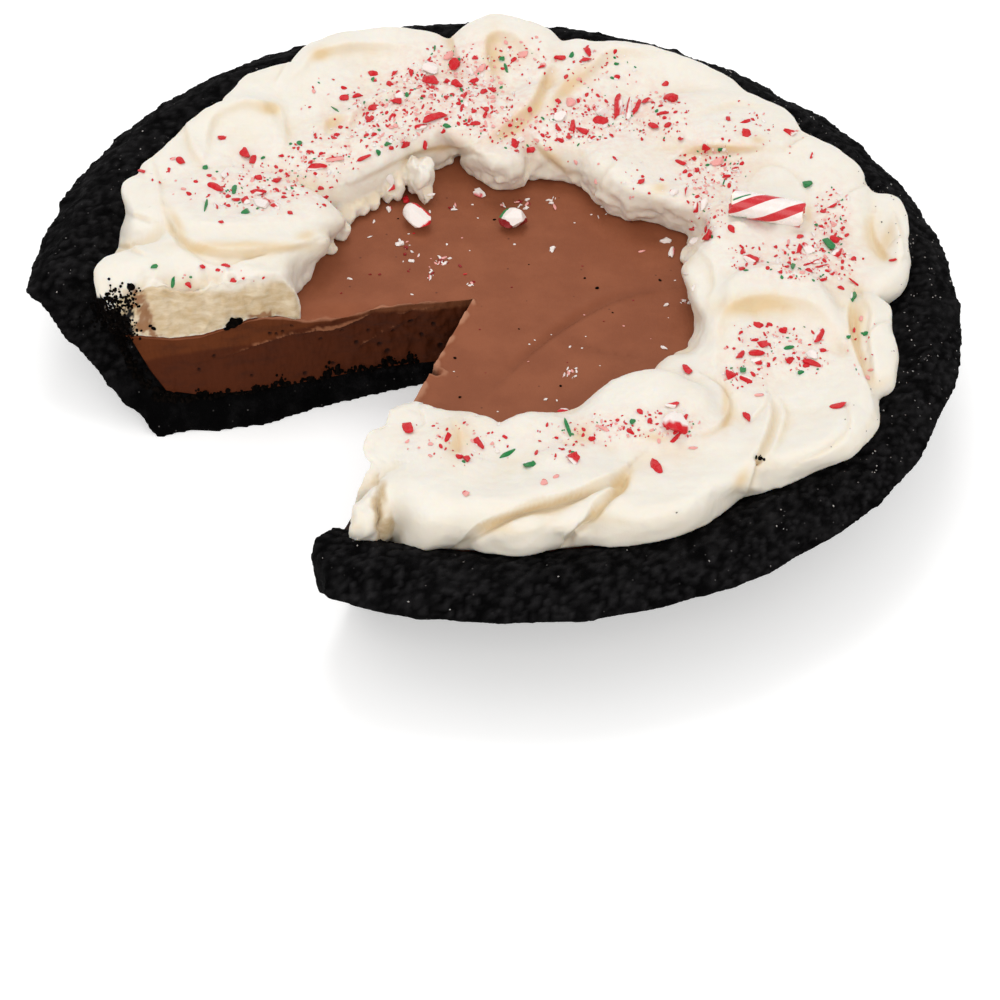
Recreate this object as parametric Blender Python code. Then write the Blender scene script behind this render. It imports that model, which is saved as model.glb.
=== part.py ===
# A chocolate cream pie on a dark crumb crust, with one slice taken out. Four layers of pieces lie
# on each other: the crust, the chocolate filling, the ring of swirled whipped cream, and broken
# peppermint candy. The pie stands on its base, with the origin at the middle of the base and +Z up.
# Places and lengths below are in millimetres and angles in degrees, anticlockwise from +X.

import math
import random
from collections import namedtuple

import bmesh
import bpy
from mathutils import Matrix, Vector, noise
from mathutils.bvhtree import BVHTree

MM = 0.001
GAP = 0.3

# The crust: a slanted outer wall under a rounded rim, with a ledge inside where the cream begins.
RIM_RADIUS = 120.0
RIM_INNER_RADIUS = 104.0
RIM_HEIGHT = 34.0
RIM_EDGE_HEIGHT = 30.0
BASE_RADIUS = 88.0
FLOOR_THICKNESS = 8.0
RIM_ROUNDING = 2.4
CRUMB_SIZE = 7.0
FINE_CRUMB_SIZE = 3.2
CRUMB_RELIEF = 0.9
RELIEF_START = 107.0
RIM_WEAR = 0.5

# The filling, and the gap round its slanted side measured level.
FILLING_TOP = 28.0
FILLING_RADIUS = 94.8
SIDE_GAP = 0.42
LEDGE_RADIUS = 98.8
LEDGE_HEIGHT = 32.0

# The filling's left face leans out at its foot, and near its point it is a little hollow.
FACE_LEAN = 5.5
LEAN_START = 15.0
LEAN_END = 68.0
HOLLOW_DEPTH = 1.3
HOLLOW_SHARE = 0.6

# The missing slice: its point lies just off the middle of the pie.
SLICE_POINT = Vector((-6.1, -1.3))
RIGHT_CUT = 249.1 - 360.0
LEFT_CUT = 191.6
SLICE_MIDDLE = 220.0

# The broken crust at the left cut stands out at its foot and leans back towards the rim.
FOOT_REACH = 10.3
FOOT_END = 72.0
POINT_UNDERCUT = 2.0
FLOOR_SLOPE = 0.5
WALL_SLOPE = 0.87
BREAK_LENGTH = 34.0
BREAK_RELIEF = 1.6

# At the right cut one lump stands out near the rim, and the rim's own corner is broken off.
RIGHT_LUMP_REACH = 2.7
RIGHT_LUMP_RADIUS = 105.0
RIGHT_LUMP_WIDTH = 5.0
RIGHT_CORNER_LOSS = 6.5
RIGHT_BREAK_LENGTH = 14.0

# The plain ring of cream under the swirls, and the form that all swirls share.
RING_INNER_RADIUS = 56.0
RING_OUTER_RADIUS = 98.0
RING_TOP = 40.0
RING_OVERRUN = 4.0
RING_NARROWING = 16.0
RING_NARROW_SPAN = 14.0
BED_INSET = 0.6
SWIRL_BULGE = 5.0
SWIRL_DEPTH = 4.0
SIDE_ROUNDNESS = 2.5
TOP_ROUNDNESS = 3.0
LIP_PLACE = 0.8
LEAST_TILT = 0.6
TILT_OF_DISH = 0.55
WARP_SIZE = 22.0
WARP_REACH = 2.4
WARP_LIFT = 0.9

# Each swirl of cream, from the right cut round to the left one: where its middle is, half its length
# and width, which way its length and its raised lip point, its height, and how deep its dish is.
Swirl = namedtuple("Swirl", "x y length width turn lip top dish")
SWIRLS = (
    Swirl(-27, -91, 12, 4, 78, 0, 41.0, 0.0),
    Swirl(3, -79, 31, 20, 18, 262, 44.0, 3.0),
    Swirl(12, -93, 18, 12, 30, 290, 41.5, 0.5),
    Swirl(44, -77, 28, 19, 38, 305, 44.0, 3.0),
    Swirl(38, -57, 19, 15, 25, 10, 44.5, 1.5),
    Swirl(77, -52, 25, 19, 70, 310, 43.5, 3.5),
    Swirl(71, -19, 22, 18, 100, 90, 44.5, 5.0),
    Swirl(54, -15, 24, 9, 95, 0, 42.0, 1.0),
    Swirl(95, -24, 19, 8, 95, 0, 42.5, 0.5),
    Swirl(99, 15, 22, 9, 82, 0, 42.5, 3.0),
    Swirl(72, 14, 26, 22, 95, 200, 43.0, 2.0),
    Swirl(82, 40, 24, 17, 120, 30, 43.0, 2.0),
    Swirl(60, 62, 22, 16, 155, 250, 44.5, 1.5),
    Swirl(38, 78, 30, 21, 160, 120, 44.0, 4.0),
    Swirl(40, 42, 22, 15, 140, 230, 42.5, 2.0),
    Swirl(0, 90, 22, 16, 95, 100, 46.0, 4.0),
    Swirl(16, 62, 20, 14, 150, 150, 43.0, 1.0),
    Swirl(-1, 50, 16, 7, 90, 270, 41.0, 0.5),
    Swirl(-37, 82, 26, 20, 15, 110, 44.0, 3.5),
    Swirl(-18, 64, 24, 16, 15, 290, 43.5, 1.0),
    Swirl(-42, 50, 22, 15, 45, 300, 43.0, 1.5),
    Swirl(-60, 66, 20, 16, 50, 130, 43.5, 2.5),
    Swirl(-71, 47, 17, 15, 60, 100, 44.0, 4.0),
    Swirl(-82, 38, 22, 10, 65, 150, 42.5, 1.0),
    Swirl(-66, 18, 28, 17, 5, 265, 45.5, 3.0),
    Swirl(-66, 4, 24, 12, 3, 265, 44.5, 1.5),
    Swirl(-92, 18, 14, 9, 90, 180, 42.5, 0.5),
    Swirl(-75, -10, 27, 17, 5, 200, 44.5, 2.0),
)

# Where broken candy lies: the middle of each scatter, how far it spreads and how many pieces.
CREAM_SCATTERS = (
    (-66, 22, 9, 7),
    (-45, 42, 16, 8),
    (-14, 78, 22, 14),
    (26, 66, 12, 9),
    (52, 54, 14, 6),
    (82, 4, 12, 10),
    (72, -30, 13, 9),
    (34, -66, 13, 8),
    (2, -70, 18, 7),
    (-75, -6, 12, 4),
)
FILLING_BITS = ((-9.0, 40.0), (14.2, 19.4), (-25.6, 18.0), (37.0, 25.0), (-14.5, 9.8), (20.0, -30.4))
LARGEST_BIT = 4.6
SMALLEST_BIT = 2.4
BIT_WIDTHS = (0.5, 0.8)
BIT_HEIGHTS = (0.4, 0.6)
BIT_LIFT = 0.12
CHIP_UNEVENNESS = (0.82, 1.15)
BIT_SEED = 11

# The large striped piece, lying along X in the cream, and the two white lumps on the filling.
CANE_MIDDLE = Vector((69.0, 21.0, 44.5))
CANE_LENGTH = 20.0
CANE_RADIUS = 3.5
CANE_TURN = -6.0
CANE_TILT = 5.0
CANE_CHIPPING = 1.1
CANE_CLEARANCE = 3.5
LUMPS = (("candy_lump_left", -22.0, 29.6, 9.0, 5.5, 125.0), ("candy_lump_right", 3.4, 30.1, 7.5, 6.5, 20.0))
LUMP_HEIGHT = 4.6

SHARP_ANGLE = 42.0


def clear_scene():
    for item in list(bpy.data.objects):
        bpy.data.objects.remove(item, do_unlink=True)


def material(name, colour, roughness, metallic=0.0):
    made = bpy.data.materials.new(name)
    made.use_nodes = True
    surface = made.node_tree.nodes["Principled BSDF"]
    surface.inputs["Base Color"].default_value = (*colour, 1.0)
    surface.inputs["Roughness"].default_value = roughness
    surface.inputs["Metallic"].default_value = metallic
    return made


def blend(low, high, value):
    """0 below low, 1 above high, and smooth between them."""
    share = min(max((value - low) / (high - low), 0.0), 1.0)
    return share * share * (3.0 - 2.0 * share)


def mixed(first, second, share):
    return first + (second - first) * share


def direction(angle):
    return Vector((math.cos(math.radians(angle)), math.sin(math.radians(angle))))


def read_curve(curve, share):
    """The point at a share of the way along a curve whose points are evenly numbered."""
    place = share * (len(curve) - 1)
    index = min(int(place), len(curve) - 2)
    step = place - index
    return (
        mixed(curve[index][0], curve[index + 1][0], step),
        mixed(curve[index][1], curve[index + 1][1], step),
    )


def on_pie(radius, angle, height):
    """A place in the pie. Its spokes meet at the slice's point and its rim is round about the origin."""
    share = radius / RIM_RADIUS
    spoke = SLICE_POINT * (1.0 - share) + direction(angle) * radius
    return Vector((spoke.x, spoke.y, height))


def new_object(name, bm, finish):
    mesh = bpy.data.meshes.new(name)
    bm.to_mesh(mesh)
    bm.free()
    mesh.materials.append(finish)
    made = bpy.data.objects.new(name, mesh)
    bpy.context.scene.collection.objects.link(made)
    return made


def block_shell(place_at, steps):
    """The closed surface of a block that place_at bends, from three shares of 0 to 1 to a place."""
    bm = bmesh.new()
    corners = {}

    def corner(index):
        if index not in corners:
            shares = [number / count for number, count in zip(index, steps)]
            corners[index] = bm.verts.new(place_at(*shares) * MM)
        return corners[index]

    for axis in range(3):
        across, along = (axis + 1) % 3, (axis + 2) % 3
        for end in (0, steps[axis]):
            for i in range(steps[across]):
                for j in range(steps[along]):
                    loop = []
                    for di, dj in ((0, 0), (1, 0), (1, 1), (0, 1)):
                        index = [0, 0, 0]
                        index[axis], index[across], index[along] = end, i + di, j + dj
                        loop.append(corner(tuple(index)))
                    bm.faces.new(loop if end else loop[::-1])
    bmesh.ops.remove_doubles(bm, verts=bm.verts, dist=1e-6)
    bmesh.ops.recalc_face_normals(bm, faces=bm.faces)
    return bm


def crust_inside(share):
    """Radius and height along the face that holds the filling, from the middle to the rim."""
    return read_curve(
        (
            (0.0, FLOOR_THICKNESS),
            (42.0, FLOOR_THICKNESS),
            (76.0, FLOOR_THICKNESS + 0.5),
            (85.0, FLOOR_THICKNESS + 2.5),
            (89.0, FLOOR_THICKNESS + 8.5),
            (FILLING_RADIUS, FILLING_TOP),
            (LEDGE_RADIUS, LEDGE_HEIGHT),
            (RIM_INNER_RADIUS, RIM_HEIGHT),
        ),
        share,
    )


def crust_outside(share):
    """Radius and height along the underside and up the slanted wall to the rim's edge."""
    slope = (RIM_RADIUS - BASE_RADIUS) / RIM_EDGE_HEIGHT
    return read_curve(
        (
            (0.0, 0.0),
            (44.0, 0.0),
            (72.0, 0.0),
            (BASE_RADIUS, 0.0),
            (BASE_RADIUS + 8.0 * slope, 8.0),
            (BASE_RADIUS + 17.0 * slope, 17.0),
            (BASE_RADIUS + 25.0 * slope, 25.0),
            (RIM_RADIUS, RIM_EDGE_HEIGHT),
        ),
        share,
    )


def crumb_relief(place):
    """How far the crumb surface stands in or out at a place."""
    coarse = noise.noise(place / CRUMB_SIZE)
    fine = noise.noise(place / FINE_CRUMB_SIZE + Vector((31.0, 7.0, 3.0)))
    return CRUMB_RELIEF * (1.3 * coarse + 0.7 * fine)


def broken_reach(radius, height):
    """How far the broken crust stands past the left cut: out at the foot, back at the rim."""
    foot = mixed(-POINT_UNDERCUT, FOOT_REACH, blend(2.0, FOOT_END, radius))
    slope = mixed(FLOOR_SLOPE, WALL_SLOPE, blend(76.0, 94.0, radius))
    return foot - slope * height


def lump_reach(radius):
    """How far the broken crust stands past the right cut."""
    from_lump = (radius - RIGHT_LUMP_RADIUS) / RIGHT_LUMP_WIDTH
    lost = RIGHT_CORNER_LOSS * blend(RIGHT_LUMP_RADIUS, RIM_RADIUS, radius)
    return RIGHT_LUMP_REACH * math.exp(-from_lump * from_lump) - lost


def crust_place(turn, along, through):
    inner = crust_inside(along)
    outer = crust_outside(along)
    radius = mixed(inner[0], outer[0], through)
    height = mixed(inner[1], outer[1], through)
    if along == 1.0:
        height += RIM_ROUNDING * math.sin(math.pi * through)
    angle = mixed(RIGHT_CUT, LEFT_CUT, turn)
    outward = direction(angle)
    side = Vector((-outward.y, outward.x, 0.0))
    outward = Vector((outward.x, outward.y, 0.0))
    from_right = math.radians(angle - RIGHT_CUT) * radius
    from_left = math.radians(LEFT_CUT - angle) * radius
    left_reach = broken_reach(radius, height) * (1.0 - blend(0.0, BREAK_LENGTH, from_left))
    right_reach = lump_reach(radius) * (1.0 - blend(0.0, RIGHT_BREAK_LENGTH, from_right))
    place = on_pie(radius, angle, height) + side * (left_reach - right_reach)
    on_cut = turn in (0.0, 1.0)
    if through == 1.0 or radius > RELIEF_START or on_cut:
        push = crumb_relief(place)
        place += outward * push
        if on_cut:
            place += side * BREAK_RELIEF * crumb_relief(place.yzx)
        if along == 1.0:
            place.z -= RIM_WEAR * abs(push)
    return place


def make_crust(finish):
    return new_object("crust", block_shell(crust_place, (66, 14, 2)), finish)


def filling_place(turn, along, up):
    # The side of the filling follows the crust as far as the fifth of its seven stretches.
    radius, height = crust_inside(along * 5.0 / 7.0)
    radius -= SIDE_GAP * blend(0.0, FILLING_RADIUS, radius)
    height = min(height + GAP, FILLING_TOP)
    angle = mixed(RIGHT_CUT, LEFT_CUT, turn)
    low = on_pie(radius, angle, height)
    high = on_pie((FILLING_RADIUS - SIDE_GAP) * along, angle, FILLING_TOP)
    place = low.lerp(high, up)
    if turn == 1.0:
        below = (FILLING_TOP - place.z) / (FILLING_TOP - FLOOR_THICKNESS)
        reach = FACE_LEAN * below * blend(LEAN_START, LEAN_END, radius)
        if along < HOLLOW_SHARE:
            reach -= HOLLOW_DEPTH * math.sin(math.pi * along / HOLLOW_SHARE) * math.sin(math.pi * up)
        side = direction(LEFT_CUT + 90.0) * reach
        place += Vector((side.x, side.y, 0.0))
    return place


def make_filling(finish):
    return new_object("filling", block_shell(filling_place, (44, 7, 3)), finish)


def warped(place):
    """Bends the swirls a little, so that none is a true oval."""
    seed = Vector((place.x, place.y, 0.0)) / WARP_SIZE
    shift_x = noise.noise(seed + Vector((5.2, 1.3, 8.1)))
    shift_y = noise.noise(seed + Vector((9.7, 4.6, 2.8)))
    lift = noise.noise(seed * 1.6 + Vector((3.3, 7.7, 5.5)))
    return place + Vector((WARP_REACH * shift_x, WARP_REACH * shift_y, WARP_LIFT * lift))


def bed_height(radius):
    """The height that the cream lies on: the filling, and further out the crust's rim."""
    return mixed(FILLING_TOP, RIM_HEIGHT, blend(FILLING_RADIUS - 3.0, RIM_INNER_RADIUS, radius))


def swirl_place(swirl, turn, latitude):
    """A place on one swirl: rounded sides, and a dish in its top with a lip that is raised on one side."""
    upper = latitude >= 0.0
    power = 2.0 / (TOP_ROUNDNESS if upper else SIDE_ROUNDNESS)
    out = math.cos(latitude) ** power if abs(latitude) < math.pi / 2 else 0.0
    up = abs(math.sin(latitude)) ** power
    local = Vector((swirl.length * out * math.cos(turn), swirl.width * out * math.sin(turn), 0.0))
    local.rotate(Matrix.Rotation(math.radians(swirl.turn), 3, "Z"))
    middle = bed_height(math.hypot(swirl.x, swirl.y)) + SWIRL_BULGE
    if upper:
        facing = math.cos(turn + math.radians(swirl.turn - swirl.lip))
        tilt = (LEAST_TILT + TILT_OF_DISH * swirl.dish) * facing * min(out / LIP_PLACE, 1.0)
        dish = swirl.dish * max(0.0, 1.0 - (out / LIP_PLACE) ** 2)
        height = middle + up * (swirl.top - middle + tilt - dish)
    else:
        height = middle - up * (SWIRL_BULGE + SWIRL_DEPTH)
    return warped(Vector((swirl.x + local.x, swirl.y + local.y, height)))


def loft(name, rings, finish):
    """A closed skin over rings of places, one after another. A ring of one place closes an end."""
    bm = bmesh.new()
    rows = [[bm.verts.new(place * MM) for place in ring] for ring in rings]
    for before, after in zip(rows, rows[1:]):
        count = max(len(before), len(after))
        for step in range(count):
            other = (step + 1) % count
            loop = [before[step % len(before)], after[step % len(after)]]
            if len(after) > 1:
                loop.append(after[other])
            if len(before) > 1:
                loop.append(before[other])
            bm.faces.new(loop)
    bmesh.ops.recalc_face_normals(bm, faces=bm.faces)
    return new_object(name, bm, finish)


def middle_of(places):
    return sum(places, Vector()) / len(places)


def make_swirl(swirl, finish, around=15, upper=5, lower=2):
    latitudes = [90.0 * (1.0 - ring / upper) for ring in range(upper + 1)]
    latitudes += [-90.0 * ring / lower for ring in range(1, lower + 1)]
    rings = []
    for latitude in latitudes:
        steps = 1 if abs(latitude) == 90.0 else around
        turns = [2.0 * math.pi * step / around for step in range(steps)]
        rings.append([swirl_place(swirl, turn, math.radians(latitude)) for turn in turns])
    return loft("swirl", rings, finish)


def ring_place(turn, around):
    """A place on the plain ring of cream under the swirls, which is narrower at the right cut."""
    angle = mixed(RIGHT_CUT - RING_OVERRUN, LEFT_CUT + RING_OVERRUN, turn)
    outer = RING_OUTER_RADIUS - RING_NARROWING * (1.0 - blend(0.0, RING_NARROW_SPAN, angle - RIGHT_CUT))
    half = 0.5 * (outer - RING_INNER_RADIUS)
    slant = 2.0 * math.pi * around
    across = math.copysign(abs(math.cos(slant)) ** 0.6, math.cos(slant))
    lift = math.copysign(abs(math.sin(slant)) ** 0.8, math.sin(slant))
    radius = RING_INNER_RADIUS + half * (1.0 + across)
    ground = bed_height(radius)
    height = ground + lift * (RING_TOP - ground) if lift > 0 else ground + lift * SWIRL_DEPTH
    return warped(on_pie(radius, angle, height))


def make_ring(finish, turns=36, sides=8):
    rings = []
    for step in range(turns + 1):
        rings.append([ring_place(step / turns, side / sides) for side in range(sides)])
    rings = [[middle_of(rings[0])], *rings, [middle_of(rings[-1])]]
    return loft("whipped_cream", rings, finish)


def apply_modifiers(item):
    """Turns what the modifiers make into the object's own mesh."""
    graph = bpy.context.evaluated_depsgraph_get()
    graph.update()
    mesh = bpy.data.meshes.new_from_object(item.evaluated_get(graph))
    item.modifiers.clear()
    item.data = mesh


def unite(item, pieces):
    """Joins the pieces to the item as one body, and removes them."""
    group = bpy.data.collections.new("joined")
    bpy.context.scene.collection.children.link(group)
    for piece in pieces:
        group.objects.link(piece)
    join = item.modifiers.new("join", "BOOLEAN")
    join.operation = "UNION"
    join.solver = "MANIFOLD"
    join.operand_type = "COLLECTION"
    join.collection = group
    apply_modifiers(item)
    for piece in pieces:
        bpy.data.objects.remove(piece, do_unlink=True)
    bpy.data.collections.remove(group)


def cut(item, cutter):
    """Cuts the cutter's shape out of the item, and removes the cutter."""
    cutter.hide_render = True
    cutter.display_type = "WIRE"
    trim = item.modifiers.new("cut", "BOOLEAN")
    trim.operation = "DIFFERENCE"
    trim.solver = "MANIFOLD"
    trim.object = cutter
    apply_modifiers(item)
    bpy.data.objects.remove(cutter, do_unlink=True)


def make_bed_cutter(finish, around=72):
    """All that lies under the cream, with its top a gap above the filling and the rim."""
    middle_of_rim = 0.5 * (RIM_INNER_RADIUS + RIM_RADIUS)
    outer = 1.2 * RIM_RADIUS
    top = RIM_HEIGHT + RIM_ROUNDING + GAP
    outline = (
        (0.0, FILLING_TOP + GAP),
        (FILLING_RADIUS - BED_INSET, FILLING_TOP + GAP),
        (LEDGE_RADIUS - BED_INSET, LEDGE_HEIGHT + GAP),
        (RIM_INNER_RADIUS - BED_INSET, RIM_HEIGHT + GAP),
        (middle_of_rim, top),
        (outer, top),
        (outer, 0.0),
        (0.0, 0.0),
    )
    rings = []
    for radius, height in outline:
        steps = around if radius > 0.0 else 1
        rings.append([on_pie(radius, 360.0 * step / around, height) for step in range(steps)])
    return loft("bed_cutter", rings, finish)


def make_slice_cutter(finish):
    """The missing slice, as an upright wedge from its point to past the rim."""
    bm = bmesh.new()
    reach = 1.5 * RIM_RADIUS
    corners = [on_pie(0.0, 0.0, 0.0)]
    corners += [on_pie(reach, angle, 0.0) for angle in (LEFT_CUT, SLICE_MIDDLE, RIGHT_CUT + 360.0)]
    height = Vector((0.0, 0.0, 2.0 * RIM_HEIGHT))
    lower = [bm.verts.new((corner - height) * MM) for corner in corners]
    upper = [bm.verts.new((corner + height) * MM) for corner in corners]
    bm.faces.new(lower[::-1])
    bm.faces.new(upper)
    for near, far in ((0, 1), (1, 2), (2, 3), (3, 0)):
        bm.faces.new((lower[near], lower[far], upper[far], upper[near]))
    bmesh.ops.recalc_face_normals(bm, faces=bm.faces)
    return new_object("slice_cutter", bm, finish)


def make_chip(name, middle, size, turn, draw, finish, detail=1):
    """A broken chip of candy: a stretched ball with flat, uneven sides."""
    bm = bmesh.new()
    bmesh.ops.create_icosphere(bm, subdivisions=detail, radius=0.5)
    for vert in bm.verts:
        vert.co *= draw.uniform(*CHIP_UNEVENNESS)
        vert.co = Vector((vert.co.x * size.x, vert.co.y * size.y, vert.co.z * size.z))
        vert.co.rotate(Matrix.Rotation(math.radians(turn), 3, "Z"))
        vert.co = (vert.co + middle) * MM
    return new_object(name, bm, finish)


def surface_tree(item):
    bm = bmesh.new()
    bm.from_mesh(item.data)
    tree = BVHTree.FromBMesh(bm)
    bm.free()
    return tree


def top_of(tree, x, y):
    """The height of a surface straight below a high point, or None where there is none."""
    hit = tree.ray_cast(Vector((x, y, 2.0 * RIM_HEIGHT)) * MM, Vector((0.0, 0.0, -1.0)))[0]
    return hit.z / MM if hit else None


def scatter_places(draw):
    """Places of the broken candy on the cream, scatter by scatter."""
    places = []
    for x, y, spread, count in CREAM_SCATTERS:
        for _ in range(count):
            angle = draw.uniform(0.0, 2.0 * math.pi)
            reach = spread * math.sqrt(draw.random())
            places.append((x + reach * math.cos(angle), y + reach * math.sin(angle)))
    return places


def clear_of_cane(x, y):
    along = (x - CANE_MIDDLE.x) / (0.5 * CANE_LENGTH + CANE_CLEARANCE)
    across = (y - CANE_MIDDLE.y) / (CANE_RADIUS + CANE_CLEARANCE)
    return math.hypot(along, across) > 1.0


def make_bits(places, tree, draw, finish):
    """Small broken candy, sunk a little into the surface that it lies on."""
    bits = []
    for number, (x, y) in enumerate(places):
        length = mixed(LARGEST_BIT, SMALLEST_BIT, number / len(places))
        size = Vector((1.0, draw.uniform(*BIT_WIDTHS), draw.uniform(*BIT_HEIGHTS))) * length
        turn = draw.uniform(0.0, 180.0)
        ground = top_of(tree, x, y)
        if ground is None or not clear_of_cane(x, y):
            continue
        middle = Vector((x, y, ground + BIT_LIFT * size.z))
        bits.append(make_chip("bit", middle, size, turn, draw, finish))
    return bits


def make_cream(finish):
    """The ring and its swirls as one body, with the slice and all that lies under it cut away."""
    cream = make_ring(finish)
    unite(cream, [make_swirl(swirl, finish) for swirl in SWIRLS])
    cut(cream, make_bed_cutter(finish))
    cut(cream, make_slice_cutter(finish))
    return cream


def make_cane(name, spare, finish, sides=12, rings=5):
    """A short length of candy cane with broken ends. The spare is added all round it."""
    draw = random.Random(BIT_SEED + 1)
    radius = CANE_RADIUS + spare
    length = CANE_LENGTH + 2.0 * spare
    place = Matrix.Translation(CANE_MIDDLE) @ Matrix.Rotation(math.radians(CANE_TURN), 4, "Z")
    place = place @ Matrix.Rotation(math.radians(CANE_TILT), 4, "Y")
    rows = []
    for ring in range(rings):
        share = ring / (rings - 1)
        row = []
        for side in range(sides):
            slant = 2.0 * math.pi * side / sides
            chipped = draw.uniform(0.0, CANE_CHIPPING) if ring in (0, rings - 1) else 0.0
            along = (share - 0.5) * length + (chipped if share < 0.5 else -chipped)
            row.append(place @ Vector((along, radius * math.cos(slant), radius * math.sin(slant))))
        rows.append(row)
    rows = [[middle_of(rows[0])], *rows, [middle_of(rows[-1])]]
    return loft(name, rows, finish)


def make_lumps(finish):
    draw = random.Random(BIT_SEED + 2)
    for name, x, y, length, width, turn in LUMPS:
        middle = Vector((x, y, FILLING_TOP + GAP + 0.5 * LUMP_HEIGHT * CHIP_UNEVENNESS[1]))
        make_chip(name, middle, Vector((length, width, LUMP_HEIGHT)), turn, draw, finish, detail=2)


def shade_round(item):
    """Shades the item smooth and leaves its truly sharp edges sharp."""
    item.data.shade_smooth()
    item.data.set_sharp_from_angle(angle=math.radians(SHARP_ANGLE))


def main():
    clear_scene()
    crumb = material("dark_crumb", (0.012, 0.010, 0.010), 0.9)
    chocolate = material("milk_chocolate", (0.27, 0.10, 0.055), 0.45)
    cream_white = material("whipped_cream", (0.93, 0.88, 0.77), 0.55)
    candy_red = material("candy_red", (0.70, 0.03, 0.03), 0.25)
    candy_white = material("candy_white", (0.88, 0.84, 0.80), 0.3)
    make_crust(crumb)
    filling = make_filling(chocolate)
    cream = make_cream(cream_white)
    draw = random.Random(BIT_SEED)
    cream_bits = make_bits(scatter_places(draw), surface_tree(cream), draw, candy_red)
    filling_bits = make_bits(list(FILLING_BITS), surface_tree(filling), draw, candy_white)
    cut(cream, make_cane("cane_cutter", GAP, candy_red))
    unite(cream, cream_bits)
    unite(filling, filling_bits)
    make_cane("candy_cane_piece", 0.0, candy_red)
    make_lumps(candy_white)
    for item in bpy.context.scene.objects:
        shade_round(item)


main()
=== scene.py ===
import math
import random

import bmesh
import bpy
import numpy as np
from mathutils import Matrix, Vector, noise
from mathutils.bvhtree import BVHTree


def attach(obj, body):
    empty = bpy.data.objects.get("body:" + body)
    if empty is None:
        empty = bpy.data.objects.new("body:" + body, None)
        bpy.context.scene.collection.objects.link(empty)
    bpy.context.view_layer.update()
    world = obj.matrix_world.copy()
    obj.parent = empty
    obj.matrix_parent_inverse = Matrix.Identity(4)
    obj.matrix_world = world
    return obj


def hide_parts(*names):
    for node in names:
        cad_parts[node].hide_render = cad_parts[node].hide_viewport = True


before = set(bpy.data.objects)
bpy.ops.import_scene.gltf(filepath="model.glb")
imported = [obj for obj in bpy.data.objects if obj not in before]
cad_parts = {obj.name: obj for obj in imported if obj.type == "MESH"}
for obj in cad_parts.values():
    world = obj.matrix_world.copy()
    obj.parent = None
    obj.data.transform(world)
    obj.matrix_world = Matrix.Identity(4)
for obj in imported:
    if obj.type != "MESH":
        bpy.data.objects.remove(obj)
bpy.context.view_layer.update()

mm = 0.001

# The main sizes, the same as in the solids.
pie = {
    "rim": 120.0, "rimInner": 104.0, "rimHeight": 34.0, "rimRise": 2.4,
    "fillingTop": 28.0, "fillingEdge": 94.8, "ledge": (98.8, 32.0), "floor": 8.0, "gap": 0.3,
    "point": (-6.1, -1.3), "rightCut": 249.1 - 360.0, "leftCut": 191.6, "sliceMiddle": 220.0,
    "highest": 48.2, "pressedReach": (3.0, 5.0), "pressedWidens": (50.0, 58.0),
    # how deep the knife has pressed the border down along the left cut: how far out, and the depth there
    "pressedAt": (0, 16, 24, 30, 36, 44, 49, 54, 58, 63, 70, 78, 88, 94),
    "pressedBy": (0, 0, 0.4, 1.6, 2.9, 2.7, 1.0, 0.2, 0.8, 2.4, 4.4, 4.6, 2.4, 0),
}


# Shaders
class Wire:
    # a node's output that can be used in sums, by Math for values and by Vector Math for vectors and colours
    def __init__(self, tree, socket):
        self.tree = tree
        self.socket = socket

    def node(self, kind, settings=None, sockets=None, out=0):
        made = self.tree.nodes.new(kind)
        for key, value in (settings or {}).items():
            if key == "stops":
                fillRamp(made.color_ramp, value)
            else:
                setattr(made, key, value)
        for key, value in (sockets or {}).items():
            if isinstance(value, Wire):
                self.tree.links.new(value.socket, made.inputs[key])
            else:
                made.inputs[key].default_value = value
        return Wire(self.tree, made.outputs[out])

    def isVector(self):
        return self.socket.type in ("VECTOR", "RGBA")

    def sum(self, operation, first, second=0.0):
        vector = any(isinstance(part, Wire) and part.isVector() for part in (first, second))
        if not vector:
            return self.node("ShaderNodeMath", {"operation": operation}, {0: first, 1: second})
        first, second = ((part,) * 3 if isinstance(part, (int, float)) else part for part in (first, second))
        return self.node("ShaderNodeVectorMath", {"operation": operation}, {0: first, 1: second})

    def __add__(self, other):
        return self.sum("ADD", self, other)

    def __radd__(self, other):
        return self.sum("ADD", other, self)

    def __sub__(self, other):
        return self.sum("SUBTRACT", self, other)

    def __rsub__(self, other):
        return self.sum("SUBTRACT", other, self)

    def __mul__(self, other):
        return self.sum("MULTIPLY", self, other)

    def __rmul__(self, other):
        return self.sum("MULTIPLY", other, self)

    def above(self, low, high):
        # 0 below low, 1 above high and smooth between
        settings = {"interpolation_type": "SMOOTHSTEP"}
        return self.node("ShaderNodeMapRange", settings, {"Value": self, "From Min": low, "From Max": high})

    def mix(self, first, second):
        # the first colour where this value is 0, and the second where it is 1
        first, second = ((*part, 1.0) if isinstance(part, tuple) else part for part in (first, second))
        return self.node("ShaderNodeMix", {"data_type": "RGBA"}, {0: self, 6: first, 7: second}, out=2)


def fillRamp(ramp, stops):
    while len(ramp.elements) < len(stops):
        ramp.elements.new(0.5)
    for element, (place, shade) in zip(ramp.elements, stops):
        element.position = place
        element.color = (shade, shade, shade, 1.0)


shaderSockets = {
    "colour": "Base Color", "roughness": "Roughness", "specular": "Specular IOR Level", "coat": "Coat Weight",
    "coatRoughness": "Coat Roughness", "glow": "Subsurface Weight", "glowColours": "Subsurface Radius",
    "glowDepth": "Subsurface Scale", "emission": "Emission Color", "emissionStrength": "Emission Strength",
}


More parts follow.
